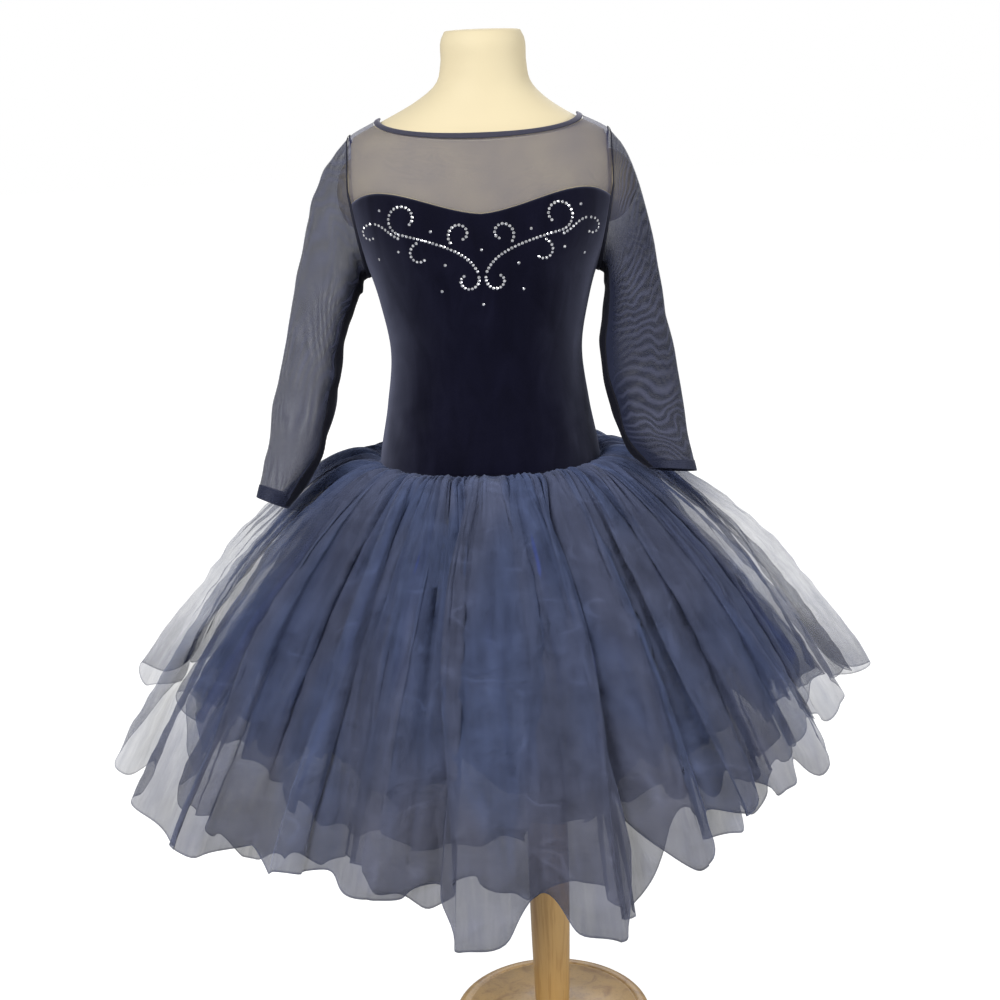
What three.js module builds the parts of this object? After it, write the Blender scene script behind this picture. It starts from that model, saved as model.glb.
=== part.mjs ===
// Ballet tutu costume on a limbless dress form with a turned wooden stand.
// Millimetres, +Z up. The origin is the centre of the stand's underside, the front faces -Y and the wearer's
// left is +X. Angles round the body start at the wearer's left (+X) and pass the front (-Y) at a quarter turn.
import * as THREE from 'three';

// ---------------------------------------------------------------- driving dimensions
const DRESS_OFFSET = -49.5; // the form sits off the centre of its pole, towards the wearer's right
const SEAM_GAP = 0.3; // between pieces that are sewn together
const EDGE_SEAM_GAP = 0.5; // where a seam follows a curved edge
const TURNED_SEAM_GAP = 0.9; // where a seam turns from one face of the body to another
const EASE = 2.2; // between the form and the cloth that is worn on it
const VELVET = 1.8; // cloth thicknesses
const MESH = 1.2;
const TULLE = 1.2;
const BINDING = { thickness: 2.8, width: 6, ease: 1.8 };

const HIP_SEAM_Z = 692; // dropped waist, where the skirt is gathered on
const UNDERARM_Z = 888;
const SHOULDER_Z = 1025.5;
const ARM_PLATE_Z = 975; // above this height the sides of the form are flat plates
const ARM_PLATE_HALF = 128;
const ARMHOLE_MARGIN = 0.2; // from the armhole's ends to the first points of the sleeve's seam
const NECKLINE_SIDE_Z = 1041.5;
const NECKLINE_DROP = { front: 13, back: 20 };
const NECKLINE_ROUNDING = 1.5;
const BACK_TOP_Z = 960; // straight top edge of the velvet back
const SWEETHEART = { notchZ: 954, peakZ: 975, endZ: 965, peakAt: 0.62, rounding: 1.2 };

// The form's rings: half width, depth in front of and behind its axis, how square the ring is, and how far it
// leans to the wearer's left.
const FORM_RINGS = [
  { z: 565, half: 94, front: 72, back: 74, square: 2.2, lean: 0 },
  { z: 580, half: 103, front: 79, back: 82, square: 2.3, lean: 0 },
  { z: 630, half: 110, front: 85, back: 89, square: 2.4, lean: 0 },
  { z: 692, half: 112, front: 87, back: 87, square: 2.4, lean: 0 },
  { z: 750, half: 102, front: 80, back: 80, square: 2.4, lean: 0 },
  { z: 808, half: 95.7, front: 76, back: 73, square: 2.3, lean: 0 },
  { z: 860, half: 104, front: 81, back: 76, square: 2.4, lean: 0 },
  { z: 888, half: 111.5, front: 84, back: 78, square: 2.4, lean: 0 },
  { z: 904, half: 117.5, front: 86, back: 80, square: 2.4, lean: 0 },
  { z: 930, half: 127.5, front: 87, back: 83, square: 2.5, lean: 0 },
  { z: 960, half: 136, front: 84, back: 84, square: 2.6, lean: 0 },
  { z: 985, half: 139, front: 78, back: 83, square: 2.6, lean: 0 },
  { z: 1005, half: 138, front: 70, back: 79, square: 2.5, lean: 0 },
  { z: 1018, half: 133, front: 63.5, back: 74, square: 2.4, lean: 0 },
  { z: 1025.5, half: 128, front: 59.5, back: 70, square: 2.4, lean: 0 },
  { z: 1041.5, half: 97, front: 50.5, back: 60, square: 2.2, lean: 0 },
  { z: 1058, half: 68, front: 45, back: 52, square: 2.1, lean: 3 },
  { z: 1075, half: 48.5, front: 41.5, back: 46, square: 2, lean: 6 },
  { z: 1095, half: 43, front: 40.5, back: 42.5, square: 2, lean: 7 },
  { z: 1118, half: 41.8, front: 40, back: 41.5, square: 2, lean: 7 },
  { z: 1126, half: 38, front: 36, back: 38, square: 2, lean: 7 },
];

// Each sleeve's rings below the armhole: its outer and inner edge seen from the front, half its depth, and how far
// its middle swings forward. The cuffs rest just above the skirt.
const SLEEVES = {
  sleeve_left: {
    side: 1,
    rings: [
      { outerX: 143, outerZ: 1015, innerX: 123, innerZ: 882, depth: 46, forward: 0 },
      { outerX: 156, outerZ: 988, innerX: 124, innerZ: 874, depth: 47, forward: -2 },
      { outerX: 168, outerZ: 948, innerX: 123.5, innerZ: 862, depth: 47, forward: -5 },
      { outerX: 177, outerZ: 905, innerX: 120, innerZ: 838, depth: 46, forward: -10 },
      { outerX: 185.5, outerZ: 858, innerX: 116, innerZ: 812, depth: 44, forward: -18 },
      { outerX: 193, outerZ: 808, innerX: 118, innerZ: 776, depth: 42, forward: -30 },
      { outerX: 200, outerZ: 760, innerX: 127, innerZ: 740, depth: 39, forward: -45 },
      { outerX: 206, outerZ: 720, innerX: 140, innerZ: 708, depth: 35, forward: -60 },
      { outerX: 211, outerZ: 686, innerX: 161, innerZ: 690, depth: 31, forward: -74 },
    ],
  },
  sleeve_right: {
    side: -1,
    rings: [
      { outerX: 145, outerZ: 1014, innerX: 123, innerZ: 882, depth: 46, forward: 0 },
      { outerX: 162, outerZ: 990, innerX: 125, innerZ: 874, depth: 48, forward: -2 },
      { outerX: 176, outerZ: 952, innerX: 130, innerZ: 862, depth: 48, forward: -5 },
      { outerX: 188, outerZ: 908, innerX: 139, innerZ: 842, depth: 46, forward: -10 },
      { outerX: 198.5, outerZ: 862, innerX: 146, innerZ: 818, depth: 44, forward: -18 },
      { outerX: 209.5, outerZ: 812, innerX: 152, innerZ: 782, depth: 42, forward: -30 },
      { outerX: 220, outerZ: 762, innerX: 161, innerZ: 742, depth: 39, forward: -45 },
      { outerX: 230, outerZ: 716, innerX: 180, innerZ: 698, depth: 34, forward: -62 },
      { outerX: 240, outerZ: 675, innerX: 208, innerZ: 661, depth: 29, forward: -76 },
    ],
  },
};

// The skirt's run from the hip seam to the hem, at its sides and at its front and back.
const SKIRT_RUN = [
  { run: 0, sideHalf: 114.5, sideZ: 0, endHalf: 89.5, endZ: 0, square: 2.4 },
  { run: 0.06, sideHalf: 133, sideZ: 2, endHalf: 107, endZ: 1, square: 2.3 },
  { run: 0.14, sideHalf: 160, sideZ: -6, endHalf: 129, endZ: -14, square: 2.1 },
  { run: 0.27, sideHalf: 205, sideZ: -40, endHalf: 160, endZ: -57, square: 2 },
  { run: 0.42, sideHalf: 257, sideZ: -88, endHalf: 200, endZ: -122, square: 2 },
  { run: 0.6, sideHalf: 311, sideZ: -154, endHalf: 243, endZ: -203, square: 2 },
  { run: 0.8, sideHalf: 364, sideZ: -234, endHalf: 288, endZ: -296, square: 2 },
  { run: 1, sideHalf: 409, sideZ: -315, endHalf: 328, endZ: -390, square: 2 },
  { run: 1.15, sideHalf: 438, sideZ: -378, endHalf: 352, endZ: -462, square: 2 },
];

// The skirt's folds over its front half, from the wearer's left. Crests stand out and reach down, notches
// between them fall back and end higher. The back half has the same folds, turned half round.
const FOLDS = [
  { angle: 3, out: 37, reach: 0.88, valley: 8, notch: 0.83 },
  { angle: 20, out: 8, reach: 0.88, valley: 12, notch: 0.84 },
  { angle: 33, out: 14, reach: 0.92, valley: 10, notch: 0.86 },
  { angle: 43, out: 12, reach: 0.91, valley: 10, notch: 0.87 },
  { angle: 52, out: 14, reach: 0.93, valley: 8, notch: 0.89 },
  { angle: 61, out: 18, reach: 0.97, valley: 20, notch: 0.83 },
  { angle: 77, out: 16, reach: 1.06, valley: 14, notch: 0.94 },
  { angle: 94, out: 15, reach: 1.04, valley: 14, notch: 0.92 },
  { angle: 109, out: 16, reach: 0.96, valley: 12, notch: 0.91 },
  { angle: 123, out: 14, reach: 0.96, valley: 12, notch: 0.93 },
  { angle: 138, out: 22, reach: 1.02, valley: 10, notch: 0.99 },
  { angle: 153, out: 22, reach: 1.0, valley: 12, notch: 0.92 },
  { angle: 168, out: 20, reach: 1.0, valley: 14, notch: 0.8 },
];

// The skirt's layers from the outside in: length against the longest, depth below the outer one at the seam and at
// the hem, and the wall's rings below the gathers.
const SKIRT_LAYERS = [
  { name: 'skirt_layer_1', length: 0.97, seamDepth: 0, hemDepth: 0, color: 0x4a5266, lowerRings: 3 },
  { name: 'skirt_layer_2', length: 1, seamDepth: 1.7, hemDepth: 9, color: 0x454e66, lowerRings: 2 },
  { name: 'skirt_layer_3', length: 0.93, seamDepth: 3.4, hemDepth: 19, color: 0x3b4878, lowerRings: 2 },
  { name: 'skirt_layer_4', length: 0.86, seamDepth: 5.1, hemDepth: 29, color: 0x252c4c, lowerRings: 2 },
];
const GATHER_RUNS = [0, 0.06, 0.14, 0.27]; // rings that every layer has where it rounds over from the seam
const GATHER_SHARE = 0.15; // of a fold's depth that it already has just below the seam
const FOLD_GROWTH = 1.3; // how late a fold opens on its way down
const POINTS_PER_FOLD = 4;

const STAND = { baseRadius: 114, baseHeight: 24, edgeRadius: 8, collarRadius: 27, collarHeight: 14 };
const POLE_PROFILE = [
  { up: 0, radius: 19.5 },
  { up: 40, radius: 20.5 },
  { up: 95, radius: 22 },
  { up: 200, radius: 23 },
  { up: 400, radius: 19 },
];
const TURNED_SEGMENTS = { base: 28, pole: 16 };

const COLORS = { velvet: 0x14182a, mesh: 0x4b4d5e, binding: 0x33353f, form: 0xf2e8c6, wood: 0xa98349 };

// ---------------------------------------------------------------- helpers
const QUARTER = Math.PI / 2;
const { clamp, lerp, degToRad } = THREE.MathUtils;
const power = (value, exponent) => Math.sign(value) * Math.abs(value) ** exponent;

// A smooth curve through a table's rows: gives every column at a value of the first one.
function smoothTable(rows) {
  const [key, ...columns] = Object.keys(rows[0]);
  const places = rows.map((row) => row[key]);
  const curve = new THREE.CubicInterpolant(
    places,
    rows.flatMap((row) => columns.map((column) => row[column])),
    columns.length,
  );
  return (place) => {
    const values = curve.evaluate(clamp(place, places[0], places.at(-1)));
    return Object.fromEntries(columns.map((column, index) => [column, values[index]]));
  };
}

function material(color, roughness) {
  return new THREE.MeshStandardMaterial({ color, roughness, metalness: 0 });
}

// A closed mesh from its points and triangles, turned so that its faces point out.
function closedMesh(name, points, triangles, surface) {
  let volume = 0;
  for (const [a, b, c] of triangles) {
    volume += points[a].dot(points[b].clone().cross(points[c]));
  }
  const facing = volume > 0 ? triangles : triangles.map(([a, b, c]) => [a, c, b]);
  const geometry = new THREE.BufferGeometry();
  geometry.setAttribute('position', new THREE.Float32BufferAttribute(points.flatMap((p) => p.toArray()), 3));
  geometry.setIndex(facing.flat());
  geometry.computeVertexNormals();
  const mesh = new THREE.Mesh(geometry, surface);
  mesh.name = name;
  return mesh;
}

// A cloth wall between two faces of columns of points. A tube's last column joins its first.
function clothWall(name, outer, inner, isTube, surface) {
  const columns = outer.length;
  const rows = outer[0].length;
  const points = [...outer.flat(), ...inner.flat()];
  const out = (column, row) => (column % columns) * rows + row;
  const inn = (column, row) => columns * rows + out(column, row);
  const triangles = [];
  const quad = (a, b, c, d) => triangles.push([a, b, c], [a, c, d]);
  const spans = isTube ? columns : columns - 1;
  for (let i = 0; i < spans; i++) {
    for (let j = 0; j < rows - 1; j++) {
      quad(out(i, j), out(i + 1, j), out(i + 1, j + 1), out(i, j + 1));
      quad(inn(i, j), inn(i, j + 1), inn(i + 1, j + 1), inn(i + 1, j));
    }
    quad(out(i, 0), inn(i, 0), inn(i + 1, 0), out(i + 1, 0));
    quad(out(i, rows - 1), out(i + 1, rows - 1), inn(i + 1, rows - 1), inn(i, rows - 1));
  }
  if (!isTube) {
    for (let j = 0; j < rows - 1; j++) {
      quad(out(0, j), out(0, j + 1), inn(0, j + 1), inn(0, j));
      quad(out(spans, j), inn(spans, j), inn(spans, j + 1), out(spans, j + 1));
    }
  }
  return closedMesh(name, points, triangles, surface);
}

// ---------------------------------------------------------------- the body's surface
const formAt = smoothTable(FORM_RINGS);
const ANGLE_STEP = 0.02;
const HEIGHT_STEP = 0.5;
const RUN_STEP = 0.01;

function bodyPoint(angle, z) {
  const ring = formAt(z);
  const depth = Math.sin(angle) > 0 ? ring.front : ring.back;
  const x = ring.lean + ring.half * power(Math.cos(angle), 2 / ring.square);
  return new THREE.Vector3(x, -depth * power(Math.sin(angle), 2 / ring.square), z);
}

function bodyNormal(angle, z) {
  const across = bodyPoint(angle + ANGLE_STEP, z).sub(bodyPoint(angle - ANGLE_STEP, z));
  const up = bodyPoint(angle, z + HEIGHT_STEP).sub(bodyPoint(angle, z - HEIGHT_STEP));
  return up.cross(across).normalize();
}

const wornPoint = (angle, z, out) => bodyPoint(angle, z).addScaledVector(bodyNormal(angle, z), out);

// Half width of the flat arm plate's edge at a height, and the angle at which the ring reaches it.
function armPlateHalf(z) {
  const share = clamp((z - UNDERARM_Z) / (ARM_PLATE_Z - UNDERARM_Z), 0, 1);
  return lerp(formAt(UNDERARM_Z).half, ARM_PLATE_HALF, share);
}

function armholeAngle(z) {
  const ring = formAt(z);
  const share = armPlateHalf(z) / ring.half;
  return z > UNDERARM_Z && z < SHOULDER_Z && share < 1 ? Math.acos(share ** (ring.square / 2)) : 0;
}

// The angle that leaves half a seam's gap beside the plane through the side seams.
function seamAngle(z) {
  const ring = formAt(z);
  return Math.asin((SEAM_GAP / 2 / ring.back) ** (ring.square / 2));
}

const panelEdge = (z) => Math.max(armholeAngle(z), seamAngle(z));

// Turns an angle counted from the side, with the side's sign, into one round the body.
const sideAngle = (fromSide, side, isFront) => {
  const angle = side > 0 ? fromSide : Math.PI - fromSide;
  return isFront ? angle : -angle;
};

function wall(name, places, thickness, surface) {
  const at = (out) => places.map((column) => column.map(({ angle, z }) => wornPoint(angle, z, out)));
  return clothWall(name, at(EASE + thickness), at(EASE), false, surface);
}

// ---------------------------------------------------------------- bodice, yoke and binding
const PANEL_COLUMNS = 16;
const BODICE_LOWER_ROWS = 5;
const ARMHOLE_ROWS = [0.07, 0.25, 0.55, 1];
const YOKE_ROWS = 6;
const YOKE_ROW_SPREAD = 1.8; // rows lie closer together towards the shoulder
const NECK_SHARE = 0.75; // of a yoke's half width ends at the neckline, the rest at the shoulder seam
const ARMHOLE_PULL = 0.4; // share of the half width from which columns lean towards the armhole's curve

// Height of the velvet's top edge, from 0 at the middle to 1 at the armhole.
function velvetTop(share, isFront) {
  if (!isFront) {
    return BACK_TOP_Z;
  }
  const { notchZ, peakZ, endZ, peakAt, rounding } = SWEETHEART;
  if (share < peakAt) {
    return lerp(notchZ, peakZ, Math.sin((share / peakAt) * QUARTER) ** rounding);
  }
  return lerp(endZ, peakZ, Math.cos(((share - peakAt) / (1 - peakAt)) * QUARTER));
}

function necklineZ(angle) {
  const drop = Math.sin(angle) > 0 ? NECKLINE_DROP.front : NECKLINE_DROP.back;
  return NECKLINE_SIDE_Z - drop * Math.abs(Math.sin(angle)) ** NECKLINE_ROUNDING;
}

// The height that lies a given length down the body's surface.
function downSurface(angle, z, length) {
  const slope = bodyPoint(angle, z + HEIGHT_STEP).distanceTo(bodyPoint(angle, z - HEIGHT_STEP));
  return z - (length * 2 * HEIGHT_STEP) / slope;
}

function columnShares() {
  return Array.from({ length: PANEL_COLUMNS + 1 }, (_, i) => (2 * i) / PANEL_COLUMNS - 1);
}

function bodicePanel(name, isFront) {
  const places = columnShares().map((share) => {
    const fromMiddle = Math.abs(share);
    const top = velvetTop(fromMiddle, isFront);
    const heights = [];
    for (let row = 0; row <= BODICE_LOWER_ROWS; row++) {
      heights.push(lerp(HIP_SEAM_Z, UNDERARM_Z, row / BODICE_LOWER_ROWS));
    }
    ARMHOLE_ROWS.forEach((row) => heights.push(lerp(UNDERARM_Z, top, row)));
    return heights.map((z) => {
      const edge = panelEdge(z);
      return { angle: sideAngle(lerp(QUARTER, edge, fromMiddle), share, isFront), z };
    });
  });
  return wall(name, places, VELVET, material(COLORS.velvet, 0.9));
}

function yokePanel(name, isFront) {
  const end = isFront ? SWEETHEART.endZ : BACK_TOP_Z;
  const places = columnShares().map((share) => {
    const fromMiddle = Math.abs(share);
    const bottomZ = velvetTop(fromMiddle, isFront) + EDGE_SEAM_GAP;
    const bottomAngle = lerp(QUARTER, panelEdge(end), fromMiddle);
    const past = clamp((fromMiddle - NECK_SHARE) / (1 - NECK_SHARE), 0, 1);
    const topAngle = lerp(QUARTER, seamAngle(NECKLINE_SIDE_Z), Math.min(fromMiddle / NECK_SHARE, 1));
    const binding = BINDING.width + TURNED_SEAM_GAP;
    const neckZ = downSurface(topAngle, necklineZ(isFront ? topAngle : -topAngle), binding);
    const topZ = lerp(neckZ, SHOULDER_Z, past);
    const pull = clamp((fromMiddle - ARMHOLE_PULL) / (1 - ARMHOLE_PULL), 0, 1) ** 2;
    return Array.from({ length: YOKE_ROWS + 1 }, (_, row) => {
      const up = 1 - (1 - row / YOKE_ROWS) ** YOKE_ROW_SPREAD;
      const z = lerp(bottomZ, topZ, up);
      const edgeZ = lerp(end + SEAM_GAP, SHOULDER_Z, up);
      const straightEdge = lerp(panelEdge(end), seamAngle(SHOULDER_Z), up);
      const fromSide = lerp(bottomAngle, topAngle, up) + pull * (panelEdge(edgeZ) - straightEdge);
      return { angle: sideAngle(Math.max(fromSide, seamAngle(z)), share, isFront), z };
    });
  });
  return wall(name, places, MESH, material(COLORS.mesh, 0.7));
}

function neckBinding() {
  const columns = 2 * NECK_SHARE * PANEL_COLUMNS;
  const places = Array.from({ length: columns }, (_, i) => {
    const angle = (i / columns) * 2 * Math.PI;
    const top = necklineZ(angle);
    return [downSurface(angle, top, BINDING.width), top].map((z) => ({ angle, z }));
  });
  const at = (out) => places.map((column) => column.map(({ angle, z }) => wornPoint(angle, z, out)));
  const { ease, thickness } = BINDING;
  return clothWall('neck_binding', at(ease + thickness), at(ease), true, material(COLORS.binding, 0.8));
}

// ---------------------------------------------------------------- sleeves
const SLEEVE_COLUMNS = 16;

// The armhole's seam, just outside the edges of the panels: up is +1 at the shoulder and -1 under the arm.
function armholeColumn(turn, side) {
  const up = Math.cos(turn);
  const z = lerp(UNDERARM_Z + ARMHOLE_MARGIN, SHOULDER_Z - ARMHOLE_MARGIN, (1 + up) / 2);
  const isFront = Math.sin(turn) > 0;
  const angle = (isFront ? 1 : -1) * armholeAngle(z);
  const seam = wornPoint(angle, z, EASE);
  seam.x = wornPoint(angle, z, EASE + VELVET).x + TURNED_SEAM_GAP;
  const radial = new THREE.Vector3(0, -Math.sin(turn), up);
  const outer = seam.clone().addScaledVector(radial, MESH);
  return [outer, seam].map((point) => new THREE.Vector3(side * point.x, point.y, point.z));
}

function sleeveRingColumn(ring, turn, side) {
  const middle = new THREE.Vector3((ring.outerX + ring.innerX) / 2, ring.forward, (ring.outerZ + ring.innerZ) / 2);
  const wide = new THREE.Vector3(ring.outerX - ring.innerX, 0, ring.outerZ - ring.innerZ).divideScalar(2);
  return [0, MESH].map((inset) => {
    const point = middle.clone();
    point.addScaledVector(wide, Math.cos(turn) * (1 - inset / wide.length()));
    point.y -= (ring.depth - inset) * Math.sin(turn);
    point.x *= side;
    return point;
  });
}

function sleeve(name, { side, rings }) {
  const outer = [];
  const inner = [];
  for (let i = 0; i < SLEEVE_COLUMNS; i++) {
    const turn = (i / SLEEVE_COLUMNS) * 2 * Math.PI;
    const column = [armholeColumn(turn, side), ...rings.map((ring) => sleeveRingColumn(ring, turn, side))];
    outer.push(column.map((pair) => pair[0]));
    inner.push(column.map((pair) => pair[1]));
  }
  return clothWall(name, outer, inner, true, material(COLORS.mesh, 0.7));
}

// ---------------------------------------------------------------- skirt
const skirtAt = smoothTable(SKIRT_RUN);

function skirtMean(angle, run) {
  const row = skirtAt(run);
  const frontShare = Math.sin(angle) ** 2;
  return new THREE.Vector3(
    row.sideHalf * power(Math.cos(angle), 2 / row.square),
    -row.endHalf * power(Math.sin(angle), 2 / row.square),
    HIP_SEAM_Z - 2 * SEAM_GAP + lerp(row.sideZ, row.endZ, frontShare),
  );
}

function skirtNormal(angle, run) {
  const across = skirtMean(angle + ANGLE_STEP, run).sub(skirtMean(angle - ANGLE_STEP, run));
  const start = Math.max(run - 2 * RUN_STEP, 0);
  const down = skirtMean(angle, run + 2 * RUN_STEP).sub(skirtMean(angle, start));
  return across.cross(down).normalize();
}

// The fold that an angle lies in: how far it stands out at the hem, and how far down the hem reaches.
function foldAt(angle) {
  const half = 180;
  const turned = ((THREE.MathUtils.radToDeg(angle) % 360) + 360) % 360;
  const place = (turned - FOLDS[0].angle + half) % half;
  const index = FOLDS.findLastIndex((fold) => place >= fold.angle - FOLDS[0].angle);
  const fold = FOLDS[index];
  const next = FOLDS[(index + 1) % FOLDS.length];
  const start = fold.angle - FOLDS[0].angle;
  const end = index + 1 < FOLDS.length ? next.angle - FOLDS[0].angle : half;
  const share = (place - start) / (end - start);
  const valley = (1 - Math.cos(2 * Math.PI * share)) / 2;
  return {
    out: lerp(lerp(fold.out, next.out, share), -fold.valley, valley),
    reach: lerp(lerp(fold.reach, next.reach, share), fold.notch, valley),
  };
}

function skirtPoint(angle, run, layer) {
  const { out } = foldAt(angle);
  const rise = lerp(clamp(run, 0, 1) ** FOLD_GROWTH, clamp(run / GATHER_RUNS[1], 0, 1), GATHER_SHARE);
  const depth = lerp(layer.seamDepth, layer.hemDepth, clamp(run, 0, 1));
  return skirtMean(angle, run).addScaledVector(skirtNormal(angle, run), out * rise - depth);
}

function layerRuns(layer, hem) {
  const last = GATHER_RUNS.at(-1);
  const lower = Array.from({ length: layer.lowerRings }, (_, i) => lerp(last, hem, (i + 1) / layer.lowerRings));
  return [...GATHER_RUNS, ...lower];
}

function skirtLayer(layer) {
  const columns = 2 * FOLDS.length * POINTS_PER_FOLD;
  const spacing = [];
  FOLDS.forEach((fold, index) => {
    const end = index + 1 < FOLDS.length ? FOLDS[index + 1].angle : FOLDS[0].angle + 180;
    for (let i = 0; i < POINTS_PER_FOLD; i++) {
      spacing.push(lerp(fold.angle, end, (i + 0.5) / POINTS_PER_FOLD));
    }
  });
  const outer = [];
  const inner = [];
  for (let i = 0; i < columns; i++) {
    const angle = degToRad(spacing[i % spacing.length] + (i < spacing.length ? 0 : 180));
    const hem = foldAt(angle).reach * layer.length;
    const outerColumn = [];
    const innerColumn = [];
    for (const run of layerRuns(layer, hem)) {
      const point = skirtPoint(angle, run, layer);
      const across = skirtPoint(angle + ANGLE_STEP, run, layer).sub(skirtPoint(angle - ANGLE_STEP, run, layer));
      const start = Math.max(run - RUN_STEP, 0);
      const down = skirtPoint(angle, run + RUN_STEP, layer).sub(skirtPoint(angle, start, layer));
      const normal = across.cross(down).normalize();
      outerColumn.push(point);
      innerColumn.push(point.clone().addScaledVector(normal, -TULLE));
    }
    outer.push(outerColumn);
    inner.push(innerColumn);
  }
  return clothWall(layer.name, outer, inner, true, material(layer.color, 0.8));
}

// ---------------------------------------------------------------- dress form and stand
const FORM_ARC_COLUMNS = 10;
const FORM_PLATE_COLUMNS = 4;
const FORM_SIDE_ANGLE = 0.18; // half the angle of the plate's columns where the form has no plate

function formTorso() {
  const heights = FORM_RINGS.map((ring) => ring.z);
  const points = [];
  const triangles = [];
  const perRing = 2 * (FORM_ARC_COLUMNS + FORM_PLATE_COLUMNS);
  for (const z of heights) {
    const edge = Math.max(armholeAngle(z), FORM_SIDE_ANGLE);
    const limit = z > UNDERARM_Z && z < SHOULDER_Z ? armPlateHalf(z) : Infinity;
    const angles = [];
    for (const turn of [0, Math.PI]) {
      for (let i = 0; i < FORM_PLATE_COLUMNS; i++) {
        angles.push(turn + lerp(-edge, edge, i / FORM_PLATE_COLUMNS));
      }
      for (let i = 0; i < FORM_ARC_COLUMNS; i++) {
        angles.push(turn + lerp(edge, Math.PI - edge, i / FORM_ARC_COLUMNS));
      }
    }
    for (const angle of angles) {
      const point = bodyPoint(angle, z);
      point.x = clamp(point.x, -limit, limit);
      points.push(point);
    }
  }
  for (let ring = 0; ring < heights.length - 1; ring++) {
    for (let i = 0; i < perRing; i++) {
      const [a, b] = [ring * perRing + i, ring * perRing + ((i + 1) % perRing)];
      triangles.push([a, b, b + perRing], [a, b + perRing, a + perRing]);
    }
  }
  const last = (heights.length - 1) * perRing;
  const bottom = points.push(new THREE.Vector3(0, 0, heights[0])) - 1;
  const top = points.push(new THREE.Vector3(0, 0, heights.at(-1))) - 1;
  for (let i = 0; i < perRing; i++) {
    const next = (i + 1) % perRing;
    triangles.push([bottom, next, i], [top, last + i, last + next]);
  }
  return closedMesh('form_torso', points, triangles, material(COLORS.form, 0.6));
}

function turned(name, profile, segments) {
  const geometry = new THREE.LatheGeometry(profile.map(([radius, z]) => new THREE.Vector2(radius, z)), segments);
  geometry.rotateX(QUARTER);
  const mesh = new THREE.Mesh(geometry, material(COLORS.wood, 0.5));
  mesh.name = name;
  return mesh;
}

function standBase() {
  const { baseRadius, baseHeight, edgeRadius } = STAND;
  const profile = [[0, 0], [baseRadius - edgeRadius / 2, 0], [baseRadius, edgeRadius / 2]];
  for (let step = 0; step <= 3; step++) {
    const turn = (step / 3) * QUARTER;
    const inward = edgeRadius * (1 - Math.cos(turn));
    profile.push([baseRadius - inward, baseHeight - edgeRadius * (1 - Math.sin(turn))]);
  }
  profile.push([0, baseHeight]);
  return turned('stand_base', profile, TURNED_SEGMENTS.base);
}

function standPole() {
  const { baseHeight, collarRadius, collarHeight } = STAND;
  const foot = baseHeight + SEAM_GAP;
  const top = FORM_RINGS[0].z - SEAM_GAP;
  const neck = POLE_PROFILE.at(-1).radius;
  const profile = [
    [0, foot],
    ...POLE_PROFILE.map(({ up, radius }) => [radius, foot + up]),
    [neck, top - 2 * collarHeight],
    [collarRadius, top - collarHeight],
    [collarRadius, top],
    [0, top],
  ];
  return turned('stand_pole', profile, TURNED_SEGMENTS.pole);
}

// ---------------------------------------------------------------- the whole
const group = new THREE.Group();
const dress = new THREE.Group();
dress.position.x = DRESS_OFFSET;
dress.add(formTorso());
dress.add(bodicePanel('bodice_front', true), bodicePanel('bodice_back', false));
dress.add(yokePanel('yoke_front', true), yokePanel('yoke_back', false));
dress.add(neckBinding());
for (const [name, shape] of Object.entries(SLEEVES)) {
  dress.add(sleeve(name, shape));
}
SKIRT_LAYERS.forEach((layer) => dress.add(skirtLayer(layer)));
group.add(dress, standBase(), standPole());

export default group;
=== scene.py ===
"""A ballet tutu costume on a dress form: velvet bodice, sheer yoke and sleeves, layered tulle skirt, wooden stand."""
import math
from functools import partial

import bmesh
import bpy
import numpy as np
from mathutils import Euler, Matrix, Vector


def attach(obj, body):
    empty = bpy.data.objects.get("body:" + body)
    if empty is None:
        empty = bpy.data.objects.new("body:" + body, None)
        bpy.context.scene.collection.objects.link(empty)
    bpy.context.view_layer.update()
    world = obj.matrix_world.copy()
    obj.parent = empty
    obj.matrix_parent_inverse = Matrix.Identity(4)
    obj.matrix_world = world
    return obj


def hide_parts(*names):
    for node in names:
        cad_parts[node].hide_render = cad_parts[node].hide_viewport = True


bl_info = {
    "name": "Ballet Tutu Costume",
    "version": (1, 0, 0),
    "blender": (4, 5, 0),
    "location": "View3D > Sidebar > Costume",
    "description": "Builds a velvet and tulle ballet costume on its dress form and stand",
    "category": "Add Mesh",
}

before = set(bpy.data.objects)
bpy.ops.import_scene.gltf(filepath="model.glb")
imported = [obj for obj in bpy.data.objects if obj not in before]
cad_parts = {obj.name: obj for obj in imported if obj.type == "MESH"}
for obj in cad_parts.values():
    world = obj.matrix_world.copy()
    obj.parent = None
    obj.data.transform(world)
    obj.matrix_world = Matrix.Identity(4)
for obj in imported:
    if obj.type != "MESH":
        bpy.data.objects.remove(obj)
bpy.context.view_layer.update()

MM = 0.001
TURN = 2 * math.pi
QUARTER = math.pi / 2
BODY = "root"
MERGE_DISTANCE = 0.00002
SLOPE_STEP = 0.5
TURN_STEP = RUN_STEP = 0.02

# ---------------------------------------------------------------- sizes that the CAD solids share, in millimetres
DRESS_OFFSET = -49.5
SEAM_GAP = 0.3
EDGE_SEAM_GAP = 0.5
TURNED_SEAM_GAP = 0.9
EASE = 2.2
VELVET = 1.8
MESH = 1.2
BINDING = {"thickness": 2.8, "width": 6.0, "ease": 1.8}
HIP_SEAM_Z = 692.0
WAIST_Z = 740
WAIST_SPREAD = 45
UNDERARM_Z = 888.0
ROWS_BELOW_ARM = 0.58
SHOULDER_Z = 1025.5
ARM_PLATE_Z = 975.0
ARM_PLATE_HALF = 128.0
ARMHOLE_MARGIN = 0.2
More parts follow.
